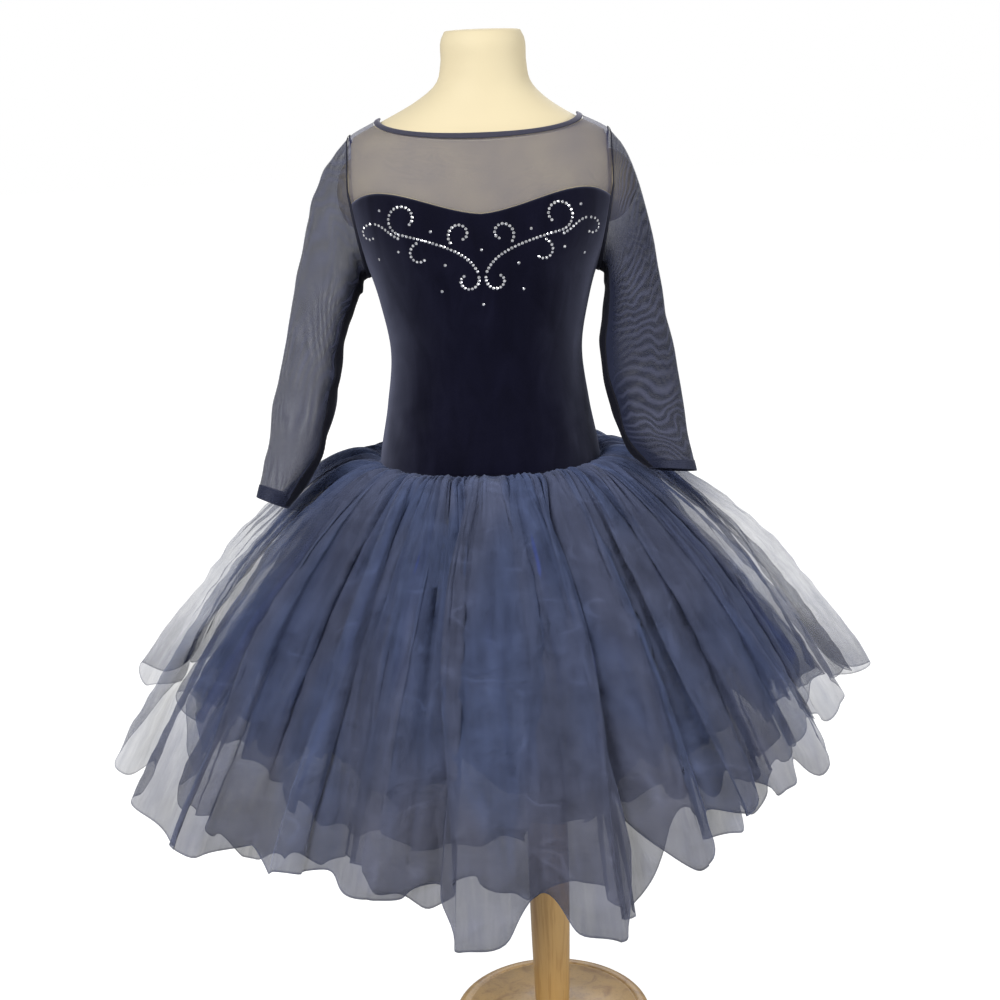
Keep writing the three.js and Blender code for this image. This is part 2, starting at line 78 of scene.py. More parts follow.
# The form's round arm plates: how far the middle is from the form's axis, its height, then half the size.
ARM_PLATES = {"left": (127, 971, 31, 38, 37), "right": (-127, 971, 19, 36, 35)}
NECKLINE_SIDE_Z = 1041.5
NECKLINE_DROP = {"front": 13.0, "back": 20.0}
NECKLINE_ROUNDING = 1.5
BACK_TOP_Z = 960.0
SWEETHEART = {"notch": 954.0, "peak": 975.0, "end": 965.0, "peak_at": 0.62, "rounding": 1.2}
NECK_SHARE = 0.75
YOKE_ROW_SPREAD = 1.8
ARMHOLE_PULL = 0.4

# z, half width, front depth, back depth, squareness, lean
FORM_RINGS = (
    (565, 94, 72, 74, 2.2, 0),
    (580, 103, 79, 82, 2.3, 0),
    (630, 110, 85, 89, 2.4, 0),
    (692, 112, 87, 87, 2.4, 0),
    (750, 102, 80, 80, 2.4, 0),
    (808, 95.7, 76, 73, 2.3, 0),
    (860, 104, 81, 76, 2.4, 0),
    (888, 111.5, 84, 78, 2.4, 0),
    (904, 117.5, 86, 80, 2.4, 0),
    (930, 127.5, 87, 83, 2.5, 0),
    (960, 136, 84, 84, 2.6, 0),
    (985, 139, 78, 83, 2.6, 0),
    (1005, 138, 70, 79, 2.5, 0),
    (1018, 133, 63.5, 74, 2.4, 0),
    (1025.5, 128, 59.5, 70, 2.4, 0),
    (1041.5, 97, 50.5, 60, 2.2, 0),
    (1058, 68, 45, 52, 2.1, 3),
    (1075, 48.5, 41.5, 46, 2, 6),
    (1095, 43, 40.5, 42.5, 2, 7),
    (1118, 41.8, 40, 41.5, 2, 7),
    (1126, 38, 36, 38, 2, 7),
)

# outer x, outer z, inner x, inner z, half depth, forward swing
SLEEVES = {
    "left": (
        (143, 1015, 123, 882, 46, 0),
        (156, 988, 124, 874, 47, -2),
        (168, 948, 123.5, 862, 47, -5),
        (177, 905, 120, 838, 46, -10),
        (185.5, 858, 116, 812, 44, -18),
        (193, 808, 118, 776, 42, -30),
        (200, 760, 127, 740, 39, -45),
        (206, 720, 140, 708, 35, -60),
        (211, 686, 161, 690, 31, -74),
    ),
    "right": (
        (145, 1014, 123, 882, 46, 0),
        (162, 990, 125, 874, 48, -2),
        (176, 952, 130, 862, 48, -5),
        (188, 908, 139, 842, 46, -10),
        (198.5, 862, 146, 818, 44, -18),
        (209.5, 812, 152, 782, 42, -30),
        (220, 762, 161, 742, 39, -45),
        (230, 716, 180, 698, 34, -62),
        (240, 675, 208, 661, 29, -76),
    ),
}

# run, half width and drop at the sides, half width and drop at front and back, squareness
SKIRT_RUN = (
    (0, 114.5, 0, 89.5, 0, 2.4),
    (0.06, 133, 2, 107, 1, 2.3),
    (0.14, 160, -6, 129, -14, 2.1),
    (0.27, 205, -40, 160, -57, 2),
    (0.42, 257, -88, 200, -122, 2),
    (0.6, 311, -154, 243, -203, 2),
    (0.8, 364, -234, 288, -296, 2),
    (1, 409, -315, 328, -390, 2),
    (1.15, 438, -378, 352, -462, 2),
)

# angle of the crest, how far it stands out, how far it reaches down, then the same for the valley after it
FOLDS = (
    (3, 37, 0.88, 8, 0.83),
    (20, 8, 0.88, 12, 0.84),
    (33, 14, 0.92, 10, 0.86),
    (43, 12, 0.91, 10, 0.87),
    (52, 14, 0.93, 8, 0.89),
    (61, 18, 0.97, 20, 0.83),
    (77, 16, 1.06, 14, 0.94),
    (94, 15, 1.04, 14, 0.92),
    (109, 16, 0.97, 12, 0.94),
    (123, 14, 0.97, 12, 0.96),
    (138, 22, 1.03, -4, 1.04),
    (153, 20, 1.03, 12, 0.95),
    (168, 20, 1.0, 14, 0.8),
)
GATHER_RUN = 0.06
GATHER_SHARE = 0.15
FOLD_GROWTH = 1.3
NOTCH_SHARPNESS = 2.4

STAND = {"base_radius": 114.0, "base_height": 24.0, "edge_radius": 8.0, "collar_radius": 27.0, "collar_height": 14.0}
POLE_PROFILE = ((0, 19.5), (40, 20.5), (95, 22), (200, 23), (400, 19))

# The skirt's layers from the outside in: length against the longest; depth under the outer one at the seam, at the
# hem and more at the sides; material slot; soft folds; how unevenly the hem is cut, all round and from fold to fold;
# how many degrees its points are turned from the folds; how deep the notches between them are; how dense its net is;
# the flat net in metres.
LAYER_SIZES = ("length", "seam", "hem", "side", "slot", "folds", "dip", "ragged", "turn", "notched", "dense", "cut")
LAYERS = [dict(zip(LAYER_SIZES, row)) for row in (
    (0.965, 0.0, 0.0, 0.0, "tulle_grey", 47, 0.012, 0.009, 0.0, 1.0, 1.05, (2.75, 0.42)),
    (0.95, 1.7, 9.0, 38.0, "tulle_grey", 53, 0.025, 0.01, 6.5, 0.65, 0.9, (2.75, 0.41)),
    (0.86, 3.4, 19.0, 40.0, "tulle_blue", 43, 0.055, 0.022, -8.0, 0.15, 1.0, (2.4, 0.39)),
    (0.785, 5.1, 29.0, 42.0, "tulle_navy", 50, 0.075, 0.026, 13.0, 0.1, 1.3, (2.3, 0.36)),
)]
NET_LENGTH = 430


# ---------------------------------------------------------------- small helpers
def lerp(a, b, share):
    return a + (b - a) * share


def smoothstep(low, high, value):
    share = np.clip((value - low) / (high - low), 0, 1)
    return share * share * (3 - 2 * share)


def power(value, exponent):
    return np.sign(value) * np.abs(value) ** exponent


def unit(vectors):
    return vectors / np.maximum(np.linalg.norm(vectors, axis=-1, keepdims=True), 1e-12)


def smooth_table(rows):
    """A smooth curve through a table's rows: gives every column at values of the first one."""
    table = np.array(rows, float)
    places, values = table[:, 0], table[:, 1:]
    last = len(places) - 1

    def at(place):
        place = np.clip(np.asarray(place, float), places[0], places[-1])
        i = np.clip(np.searchsorted(places, place, side="right"), 1, last)
        previous = np.where(i > 1, i - 2, i)
        following = np.where(i < last, i + 1, i - 1)
        before, after = places[i - 1], places[i]
        half = (after - before) / 2
        wp = (half / (before - places[previous]))[..., None]
        wn = (half / (places[following] - after))[..., None]
        p = ((place - before) / (after - before))[..., None]
        sp = -wp * p**3 + 2 * wp * p**2 - wp * p
        s0 = (1 + wp) * p**3 + (-1.5 - 2 * wp) * p**2 + (-0.5 + wp) * p + 1
        s1 = (-1 - wn) * p**3 + (1.5 + wn) * p**2 + 0.5 * p
        sn = wn * p**3 - wn * p**2
        mixed = sp * values[previous] + s0 * values[i - 1] + s1 * values[i] + sn * values[following]
        return np.moveaxis(mixed, -1, 0)

    return at


class Ripple:
    """Seeded smooth noise that closes on itself round the body, between about -1 and 1."""

    def __init__(self, seed, low, high, waves=14, slant=0.0):
        random = np.random.default_rng(seed)
        self.turns = random.integers(low, high + 1, waves)
        self.phase = random.uniform(0, TURN, waves)
        self.slant = random.normal(0, 1, waves) * slant
        self.size = random.uniform(0.5, 1, waves)
        self.size /= math.sqrt((self.size**2).sum()) * 1.1

    def __call__(self, share, along=0.0):
        total = 0.0
        for turns, phase, slant, size in zip(self.turns, self.phase, self.slant, self.size):
            total = total + size * np.sin(TURN * turns * share + phase + slant * along)
        return total


# ---------------------------------------------------------------- the body's surface
form_at = smooth_table(FORM_RINGS)
skirt_at = smooth_table(SKIRT_RUN)


def oval(angle, half, depth, square, z, lean=0.0):
    """Points on a rounded oval: half its width, its depth, how square it is, its height and its middle's x."""
    x = lean + half * power(np.cos(angle), 2 / square)
    return np.stack([x, -depth * power(np.sin(angle), 2 / square), z + 0 * angle], -1)


def body_point(angle, z):
    half, front, back, square, lean = form_at(z)
    return oval(angle, half, np.where(np.sin(angle) > 0, front, back), square, z, lean)


def body_rise(angle, z):
    return body_point(angle, z + SLOPE_STEP) - body_point(angle, z - SLOPE_STEP)


def body_normal(angle, z):
    across = body_point(angle + TURN_STEP, z) - body_point(angle - TURN_STEP, z)
    return unit(np.cross(body_rise(angle, z), across))


def worn_point(angle, z, out):
    return body_point(angle, z) + body_normal(angle, z) * np.asarray(out)[..., None]


def arm_plate_half(z):
    share = np.clip((z - UNDERARM_Z) / (ARM_PLATE_Z - UNDERARM_Z), 0, 1)
    return lerp(form_at(np.array(UNDERARM_Z))[0], ARM_PLATE_HALF, share)


def armhole_angle(z):
    half, _front, _back, square, _lean = form_at(z)
    share = arm_plate_half(z) / half
    open_here = (z > UNDERARM_Z) & (z < SHOULDER_Z) & (share < 1)
    return np.where(open_here, np.arccos(np.minimum(share, 1) ** (square / 2)), 0)


def seam_angle(z):
    _half, _front, back, square, _lean = form_at(z)
    return np.arcsin((SEAM_GAP / 2 / back) ** (square / 2))


def panel_edge(z):
    return np.maximum(armhole_angle(z), seam_angle(z))


def side_angle(from_side, side, is_front):
    angle = np.where(side > 0, from_side, math.pi - from_side)
    return angle if is_front else -angle


def velvet_top(share, is_front):
    if not is_front:
        return np.full_like(share, BACK_TOP_Z)
    notch, peak, end, peak_at = (SWEETHEART[key] for key in ("notch", "peak", "end", "peak_at"))
    rising = lerp(notch, peak, np.sin(np.clip(share / peak_at, 0, 1) * QUARTER) ** SWEETHEART["rounding"])
    falling = lerp(end, peak, np.cos(np.clip((share - peak_at) / (1 - peak_at), 0, 1) * QUARTER))
    return np.where(share < peak_at, rising, falling)


def neckline_z(angle):
    drop = np.where(np.sin(angle) > 0, NECKLINE_DROP["front"], NECKLINE_DROP["back"])
    return NECKLINE_SIDE_Z - drop * np.abs(np.sin(angle)) ** NECKLINE_ROUNDING


def down_surface(angle, z, length):
    return z - length / np.linalg.norm(body_rise(angle, z), axis=-1)


def front_angle(x, z):
    """The angle round the body at which its front stands over an x."""
    half, _front, _back, square, lean = form_at(z)
    share = np.clip((x - lean) / half, -1, 1)
    return np.arccos(power(share, square / 2))


# ---------------------------------------------------------------- meshes
def new_piece(name, bm, smooth=True):
    mesh = bpy.data.meshes.new(name)
    bm.to_mesh(mesh)
    bm.free()
    mesh.polygons.foreach_set("use_smooth", [smooth] * len(mesh.polygons))
    piece = bpy.data.objects.new(name, mesh)
    bpy.context.scene.collection.objects.link(piece)
    return piece


def grid_piece(name, columns, rows, place, closed=False, inside=None):
    """A cloth sheet: a grid laid on place(u, v), which gives millimetres and the sheet's own attributes."""
    bm = bmesh.new()
    bm.loops.layers.uv.new("UVMap")
    bmesh.ops.create_grid(bm, x_segments=columns, y_segments=rows, size=0.5, calc_uvs=True)
    flat = np.array([v.co[:2] for v in bm.verts]) + 0.5
    points, attributes = place(flat[:, 0], flat[:, 1])
    points = points * MM
    for vertex, point in zip(bm.verts, points.tolist()):
        vertex.co = point
    for key, values in attributes.items():
        layer = bm.verts.layers.float.new(key)
        for vertex, value in zip(bm.verts, np.broadcast_to(values, len(points)).tolist()):
            vertex[layer] = value
    if closed:
        bmesh.ops.remove_doubles(bm, verts=bm.verts, dist=MERGE_DISTANCE)
    piece = new_piece(name, bm)
    face_out(piece.data, points.mean(0) if inside is None else np.array(inside))
    return piece


def face_out(mesh, centre):
    count = len(mesh.polygons)
    normals, middles, areas = np.empty(count * 3), np.empty(count * 3), np.empty(count)
    mesh.polygons.foreach_get("normal", normals)
    mesh.polygons.foreach_get("center", middles)
    mesh.polygons.foreach_get("area", areas)
    outward = middles.reshape(-1, 3) - centre
    if (areas * (normals.reshape(-1, 3) * outward).sum(1)).sum() < 0:
        mesh.flip_normals()


def dress(points):
    """Moves points from the form's axis to its place beside the pole."""
    return points + np.array([DRESS_OFFSET, 0, 0])


def finish_piece(piece, material, slot, *nodes):
    piece.data.materials.clear()
    piece.data.materials.append(material)
    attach(piece, BODY)
    if nodes:
        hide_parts(*nodes)
    return piece


def cloth(name, columns, rows, place, thickness, material, slot, *nodes, **shape):
    """A sheet with its cloth's thickness, inwards, in its material."""
    piece = grid_piece(name, columns, rows, place, **shape)
    wall = piece.modifiers.new("Cloth thickness", "SOLIDIFY")
    wall.thickness = thickness * MM
    wall.offset = -1
    return finish_piece(piece, material, slot, *nodes)


def front_and_back(name, stuff, columns, rows, place, thickness, material, slot, middle_z):
    """A front and a back of the same stretched cloth."""
    for half in ("front", "back"):
        piece = cloth(f"{name}_{half}_{stuff}", columns, rows, partial(place, is_front=half == "front"), thickness,
                      material, slot, f"{name}_{half}", inside=(DRESS_OFFSET * MM, 0, middle_z))


# ---------------------------------------------------------------- shader expressions
def shaded(colour, share):
    return tuple(share * part for part in colour)


def both_ways(operation):
    """An operator's two methods: with the value on its left and on its right."""
    return (lambda self, other: self.maths(operation, self, other),
            lambda self, other: self.maths(operation, other, self))


class Value:
    """A node's output that Python's operators work on."""

    def __init__(self, shader, socket):
        self.shader = shader
        self.socket = socket

    def maths(self, operation, *operands):
        return self.shader.node("ShaderNodeMath", {"operation": operation}, dict(enumerate(operands)))

    __add__, __radd__ = both_ways("ADD")
    __sub__, __rsub__ = both_ways("SUBTRACT")
    __mul__, __rmul__ = both_ways("MULTIPLY")
    __pow__, __rpow__ = both_ways("POWER")

    def sine(self):
        return self.maths("SINE", self)

    def size(self):
        return self.maths("ABSOLUTE", self)

    def clamped(self):
        return self.shader.node("ShaderNodeClamp", {}, {"Value": self})


class Shader:
    """A material that is written as expressions."""

    def __init__(self, name):
        self.material = bpy.data.materials.new(name)
        self.material.use_nodes = True
        self.tree = self.material.node_tree
        self.tree.nodes.clear()

    def join(self, socket, value):
        if isinstance(value, Value):
            self.tree.links.new(value.socket, socket)
        elif isinstance(value, tuple) and len(value) == 3 and socket.type == "RGBA":
            socket.default_value = (*value, 1)
        else:
            socket.default_value = value

    def node(self, kind, settings=None, inputs=None, output=0):
        made = self.tree.nodes.new(kind)
        for key, value in (settings or {}).items():
            if key == "stops":
                ramp = made.color_ramp.elements
                while len(ramp) < len(value):
                    ramp.new(0.5)
                for element, (position, colour) in zip(ramp, value):
                    element.position = position
                    element.color = (*colour, 1)
            else:
                setattr(made, key, value)
        for key, value in (inputs or {}).items():
            self.join(made.inputs[key], value)
        return Value(self, made.outputs[output])

    def place(self):
        return self.node("ShaderNodeTexCoord", output="Object")

    def uv(self):
        return self.node("ShaderNodeTexCoord", output="UV")

    def facing(self):
        return self.node("ShaderNodeLayerWeight", {}, {"Blend": 0.5}, output="Facing")

    def attribute(self, name):
        return self.node("ShaderNodeAttribute", {"attribute_name": name}, output="Fac")

    def mapping(self, vector, scale=(1, 1, 1), rotation=(0, 0, 0)):
        return self.node("ShaderNodeMapping", {}, {"Vector": vector, "Scale": scale, "Rotation": rotation})

    def noise(self, vector, scale, detail=2.0, roughness=0.5, distortion=0.0):
        return self.node("ShaderNodeTexNoise", {}, {"Vector": vector, "Scale": scale, "Detail": detail,
                                                    "Roughness": roughness, "Distortion": distortion})

    def ramp(self, factor, *stops):
        return self.node("ShaderNodeValToRGB", {"stops": stops}, {"Fac": factor})

    def span(self, value, low, high, to_low=0.0, to_high=1.0):
        return self.node("ShaderNodeMapRange", {"interpolation_type": "SMOOTHSTEP"}, {
            "Value": value, "From Min": low, "From Max": high, "To Min": to_low, "To Max": to_high})

    def mix(self, factor, one, other):
        return self.node("ShaderNodeMix", {"data_type": "RGBA"}, {0: factor, 6: one, 7: other}, output=2)

    def bump(self, height, strength, distance):
        return self.node("ShaderNodeBump", {}, {"Height": height, "Strength": strength, "Distance": distance})

    def finish(self, **sockets):
        """Ends the material in a Principled shader whose sockets are given by their names."""
        surface = self.tree.nodes.new("ShaderNodeBsdfPrincipled")
        for key, value in sockets.items():
            self.join(surface.inputs[key.replace("_", " ")], value)
        output = self.tree.nodes.new("ShaderNodeOutputMaterial")
        self.tree.links.new(surface.outputs[0], output.inputs["Surface"])
        return self.material


def tulle_material(name, colour, opacity):
    """Sheer net: denser where it is gathered, with crumpled creases and a firmer cut edge; painted light on the
    gathers, ridges and creases, a painted sheen at a slant and painted shade in the valleys.
    """
    shader = Shader(name)
    uv, place = shader.uv(), shader.place()
    run, edge, deep, side = (shader.attribute(name) for name in ("run", "edge", "deep", "side"))
    cloud = shader.noise(place, 23, 2, 0.6)
    crumple = shader.noise(shader.mapping(place, scale=(1, 1, 1.5)), 26, 3, 0.5, 0.25)
    ridge = shader.noise(shader.mapping(place, scale=(1, 1, 1.6), rotation=(0.5, 0.6, 0.3)), 15, 1, 0.4)
    # The thin crease lines lighten the colour below: a painted highlight.
    crease = shader.span((ridge - 0.5).size(), 0, 0.03, 1, 0) * shader.span(cloud, 0.46, 0.66)
    streaks = shader.noise(shader.mapping(uv, scale=(330, 7, 1)), 1.0, 2, 0.65)
    panels = shader.noise(shader.mapping(uv, scale=(46, 1.6, 1)), 1.0, 2, 0.5, 0.3)
    gathered = shader.span(run, 0.0, 0.3, 1, 0)
    hem = shader.span(edge, 0.4, 2.4, 1, 0)
    lower = shader.span(run, 0.6, 0.9)
    alpha = (opacity + gathered * 0.12 + lower * 0.12 + hem * 0.16 + (cloud - 0.5) * 0.1 + (streaks - 0.5) * 0.2
             - side * 0.34)
    # Tone varies at random with the streaks; the rest is painted light and shade: lighter on crumple ridges, crease
    # lines, the gathered top and, as painted sheen, at a slant; darker in valleys and crumple hollows.
    tone_and_painted_light = (0.44 + (streaks - 0.5) * 0.6 + (crumple - 0.5) * 0.65 + crease * 0.26 + gathered * 0.32 - deep * 0.3
            + shader.facing() ** 3 * 0.7)
    grey = tuple(0.62 * part + 0.38 * sum(colour) / 3 * warm for part, warm in zip(colour, (1.16, 1.0, 0.86)))
    greyed = shader.span(panels, 0.38, 0.62, 0, 0.55) + shader.span(run, 0.6, 0.95, 0, 0.7)
    # A darker and a lighter copy of each colour, for the painted shade and light.
    painted_shade_and_light_tints = [shader.mix(greyed.clamped(), shaded(colour, share), shaded(grey, share)) for share in (0.5, 1.6)]
    return shader.finish(
        Base_Color=shader.mix(tone_and_painted_light.clamped(), *painted_shade_and_light_tints),
        Alpha=alpha.clamped(),
        Roughness=0.8,
        Normal=shader.bump(crumple, 1.0, 0.01),
        Sheen_Weight=0.12,
        Sheen_Roughness=0.5,
        Sheen_Tint=(0.7, 0.78, 1.0),
        Specular_IOR_Level=0.15,
    )


def sheer_material(name, colour, light, opacity, watered, bands_round=9.0, bands_along=0.0, waviness=24.0):
    """Fine stretch mesh, with the watered bands of two nets that lie over each other."""
    shader = Shader(name)
    uv, place = shader.uv(), shader.place()
    warp = shader.noise(shader.mapping(uv, scale=(3.0, 2.2, 1)), 1.5, 2, 0.5, 0.6)
    across, along = (shader.node("ShaderNodeSeparateXYZ", {}, {"Vector": uv}, output=axis) for axis in "XY")
    bands = ((across * bands_round + along * bands_along + warp * waviness) * TURN).sine()
    patches = shader.span(shader.noise(place, 13, 1, 0.5), 0.38, 0.62, 0.15, 1.0)
    cloud = shader.noise(place, 16, 2, 0.6)
    # This attribute raises the opacity and, as painted shade, darkens the colour: where the mesh lies doubled at the
    # sleeves' inner sides and cuff hems, and over the left sleeve below its top.
    seam = shader.attribute("doubled")
    figure = bands * patches * watered
    alpha = opacity + figure * 0.09 + (cloud - 0.5) * 0.14 + seam * 0.36
    tone_and_painted_light = figure * 0.31 + 0.36 + (cloud - 0.5) * 0.4 - seam * 0.4
    return shader.finish(
        Base_Color=shader.mix(tone_and_painted_light.clamped(), colour, light),
        Alpha=alpha.clamped(),
        Roughness=0.65,
        Normal=shader.bump(cloud, 0.3, 0.003),
        Sheen_Weight=0.12,
        Sheen_Roughness=0.4,
        Sheen_Tint=(0.75, 0.78, 1.0),
        Specular_IOR_Level=0.2,
    )


def velvet_material(settings):
    """Stretch velvet: near black face on, with a painted sheen that makes it paler and bluer where it is seen at a
    slant.
    """
    shader = Shader("Navy velvet")
    place = shader.place()
    nap = shader.noise(place, 1400, 2, 0.6)
    brushed = shader.noise(shader.mapping(place, scale=(1, 1, 0.3)), 42, 3, 0.6, 0.6)
    # Painted sheen: the colour runs from the dark depth to the lighter velvet colour where the surface is seen at a
    # slant.
    sheen = (shader.facing() + (brushed - 0.5) * 0.2).clamped() ** 2.0
    depth = shader.mix(brushed, (0.001, 0.001, 0.005), (0.0045, 0.0045, 0.016))
    return shader.finish(
        Base_Color=shader.mix(sheen.clamped(), depth, tuple(settings.velvet)),
        Roughness=shader.span(nap, 0.3, 0.7, 0.7, 0.9),
        Normal=shader.bump(nap * 0.5 + brushed * 0.5, 0.3, 0.0006),
        Sheen_Weight=0.12,
        Sheen_Roughness=0.25,
        Sheen_Tint=(0.5, 0.55, 0.8),
        Specular_IOR_Level=0.08,
    )


def binding_material(name, colour, sheen=0.3):
    """Doubled mesh, turned and stitched."""
    shader = Shader(name)
    place = shader.place()
    fine = shader.noise(place, 700, 2, 0.6)
    shade = shader.mix(fine, shaded(colour, 0.6), shaded(colour, 1.3))
    return shader.finish(
        Base_Color=shade,
        Alpha=0.93,
        Roughness=0.7,
        Normal=shader.bump(fine, 0.4, 0.0005),
        Sheen_Weight=sheen,
        Sheen_Tint=(0.8, 0.8, 1.0),
        Specular_IOR_Level=0.2,
    )


def form_material(settings):
    """Smooth cream jersey drawn over the form."""
    shader = Shader("Cream jersey")
    place = shader.place()
    knit = shader.noise(shader.mapping(place, scale=(1, 1, 2.2)), 1100, 2, 0.5)
    soft = shader.noise(place, 7, 3, 0.5)
    colour = shader.mix(shader.span(soft, 0.3, 0.7), tuple(settings.form), shaded(settings.form, 0.94))
    return shader.finish(
        Base_Color=colour,
        Roughness=0.62,
        Normal=shader.bump(knit, 0.25, 0.0004),
        Sheen_Weight=0.15,
        Specular_IOR_Level=0.3,
    )


def wood_material(settings):
    """Turned pale wood with its grain along the pole, satin varnished."""
    shader = Shader("Turned wood")
    place = shader.place()
    long_way = shader.mapping(place, scale=(1, 1, 0.08))
    figure = shader.noise(long_way, 46, 5, 0.6, 0.8)
    pores = shader.noise(shader.mapping(place, scale=(1, 1, 0.05)), 420, 2, 0.5)
    light = tuple(settings.wood)
    dark = tuple(part * share for part, share in zip(light, (0.62, 0.5, 0.4)))
    grain = shader.ramp(figure, (0.3, dark), (0.5, light), (0.72, shaded(light, 1.12)))
    colour = shader.mix(shader.span(pores, 0.55, 0.7, 0, 0.35), grain, dark)
    return shader.finish(
        Base_Color=colour,
        Roughness=shader.span(figure, 0.3, 0.7, 0.3, 0.45),
        Normal=shader.bump(pores, 0.15, 0.0004),
        Coat_Weight=0.35,
        Coat_Roughness=0.2,
    )


def stone_material():
    """Foiled glass stones, bright and slightly uneven from one to the next, with a faint painted glow."""
    shader = Shader("Rhinestone")
    place = shader.place()
    sparkle = shader.noise(place, 420, 0, 0.5)
    colour = shader.mix(shader.span(sparkle, 0.35, 0.65), (0.55, 0.56, 0.6), (1.0, 1.0, 1.0))
    # The faint emission is a painted glow: the stones shine a little as though lit.
    return shader.finish(Base_Color=colour, Metallic=1.0, Roughness=0.12, Coat_Weight=1.0, Coat_Roughness=0.03,
                         Emission_Color=(0.9, 0.92, 1.0), Emission_Strength=0.12)


# ---------------------------------------------------------------- settings
def colour_setting(name, description, default):
    return bpy.props.FloatVectorProperty(name=name, description=description, default=default, subtype="COLOR", size=3)


def length_setting(name, description, default):
    return bpy.props.FloatProperty(name=name, description=description, default=default, unit="LENGTH")


def count_setting(name, description, default, least=1):
    return bpy.props.IntProperty(name=name, description=description, default=default, min=least)


def share_setting(name, description, default):
    return bpy.props.FloatProperty(
        name=name, description=description, default=default, subtype="FACTOR", min=0, max=1)


class CostumeSizes(bpy.types.PropertyGroup):
    # The velvet colour is that of the painted sheen on the bodice where it is seen at a slant.
    velvet: colour_setting("Velvet", "Colour of the velvet's lighter nap", (0.17, 0.18, 0.26))
    form: colour_setting("Form", "Colour of the dress form's jersey", (0.73, 0.63, 0.415))
    wood: colour_setting("Wood", "Colour of the stand's wood", (0.5, 0.31, 0.115))
    stone_size: length_setting("Stone size", "Diameter of a rhinestone", 0.003)
    stone_pitch: length_setting("Stone pitch", "Distance between the rhinestones of a scroll", 0.0038)


class SkirtSizes(bpy.types.PropertyGroup):
    columns: count_setting("Columns", "Faces round each layer", 720, 120)
    rows: count_setting("Rows", "Faces down each layer", 54, 12)
    fold_depth: length_setting("Fold depth", "How far a soft fold stands out", 0.006)
    overlap: share_setting("Overlap", "How far a large fold leans over its neighbour, against its width", 0.3)
    pinch: share_setting("Pinch", "How much wider a fold's crest is than the valley beside it", 0.085)
    narrow_folds: count_setting("Narrow folds", "Folds round a layer that die away down it", 83)
    narrow_depth: length_setting("Narrow fold depth", "How far a narrow fold stands out", 0.0044)
    gathers: count_setting("Gathers", "Gathers round the hip seam", 112)
    gather_depth: length_setting("Gather depth", "How far a gather stands out", 0.0034)
    opacity: share_setting("Opacity", "How much light one face of the net stops", 0.48)
    grey: colour_setting("Grey", "Colour of the outer layers", (0.073, 0.097, 0.19))
    blue: colour_setting("Blue", "Colour of the blue layer", (0.06, 0.09, 0.29))
    navy: colour_setting("Navy", "Colour of the innermost layer", (0.034, 0.046, 0.12))


# ---------------------------------------------------------------- operators
def form_place(u, v):
    """A point of the form, closed over at both ends: v from its underside to its neck's top."""
    angle = TURN * u
    bottom, top = 0.05, 0.93
    z = lerp(FORM_RINGS[0][0], FORM_RINGS[-1][0], np.clip((v - bottom) / (top - bottom), 0, 1))
    shrink = np.where(v < bottom, v / bottom, np.where(v > top, (1 - v) / (1 - top), 1.0))
    points = body_point(angle, z)
    limit = np.where((z > UNDERARM_Z) & (z < SHOULDER_Z), arm_plate_half(z), np.inf)
    points[:, 0] = np.clip(points[:, 0], -limit, limit)
    lean = form_at(z)[4]
    rounded = np.sin(shrink * QUARTER)
    points[:, 0] = lean + (points[:, 0] - lean) * rounded
    points[:, 1] *= rounded
    points[:, 2] += np.where(v > top, 2.0 * (1 - shrink**2), 0)
    return dress(points), {}


class COSTUME_OT_form(bpy.types.Operator):
    """Build the limbless dress form"""

    bl_idname = "costume.form"
    bl_label = "Dress form"

    def execute(self, context):
        piece = grid_piece("dress_form", 128, 124, form_place, closed=True)
        jersey = form_material(context.scene.costume_sizes)
        finish_piece(piece, jersey, "form_jersey", "form_torso")
        for which, (across, height, *half_size) in ARM_PLATES.items():
            place = Matrix.Translation(Vector((DRESS_OFFSET + across, 0, height)) * MM)
            bm = bmesh.new()
            bmesh.ops.create_uvsphere(bm, u_segments=64, v_segments=32, radius=MM,
                                      matrix=place @ Matrix.Diagonal((*half_size, 1)))
            finish_piece(new_piece(f"arm_plate_{which}", bm), jersey, "form_jersey")
        return {"FINISHED"}


def velvet_place(u, v, is_front):
    """A point of the velvet: u from side to side, v from the hip seam to the top edge."""
    share = 2 * u - 1
    middle = np.abs(share)
    top = velvet_top(middle, is_front)
    z = np.where(v < ROWS_BELOW_ARM, lerp(HIP_SEAM_Z, UNDERARM_Z, v / ROWS_BELOW_ARM),
                 lerp(UNDERARM_Z, top, (v - ROWS_BELOW_ARM) / (1 - ROWS_BELOW_ARM)))
    angle = side_angle(lerp(QUARTER, panel_edge(z), middle), share, is_front)
    waist = np.exp(-(((z - WAIST_Z) / WAIST_SPREAD) ** 2))
    wrinkle = Ripple(5, 2, 9, slant=9.0)(u, z / 40.0) * 0.5 * waist * (1 - middle**4)
    z = z - 1.2 * smoothstep(HIP_SEAM_Z + 3, HIP_SEAM_Z, z)
    roll = 0.5 * smoothstep(HIP_SEAM_Z + 3, HIP_SEAM_Z - 1, z) - 0.7 * smoothstep(top - 2.5, top, z)
    return dress(worn_point(angle, z, EASE + VELVET + wrinkle + roll)), {}


class COSTUME_OT_bodice(bpy.types.Operator):
    """Cut the velvet bodice's front and back"""

    bl_idname = "costume.bodice"
    bl_label = "Bodice"

    def execute(self, context):
        velvet = velvet_material(context.scene.costume_sizes)
        front_and_back("bodice", "velvet", 120, 92, velvet_place, 1.1, velvet, "velvet", 0.83)
        return {"FINISHED"}


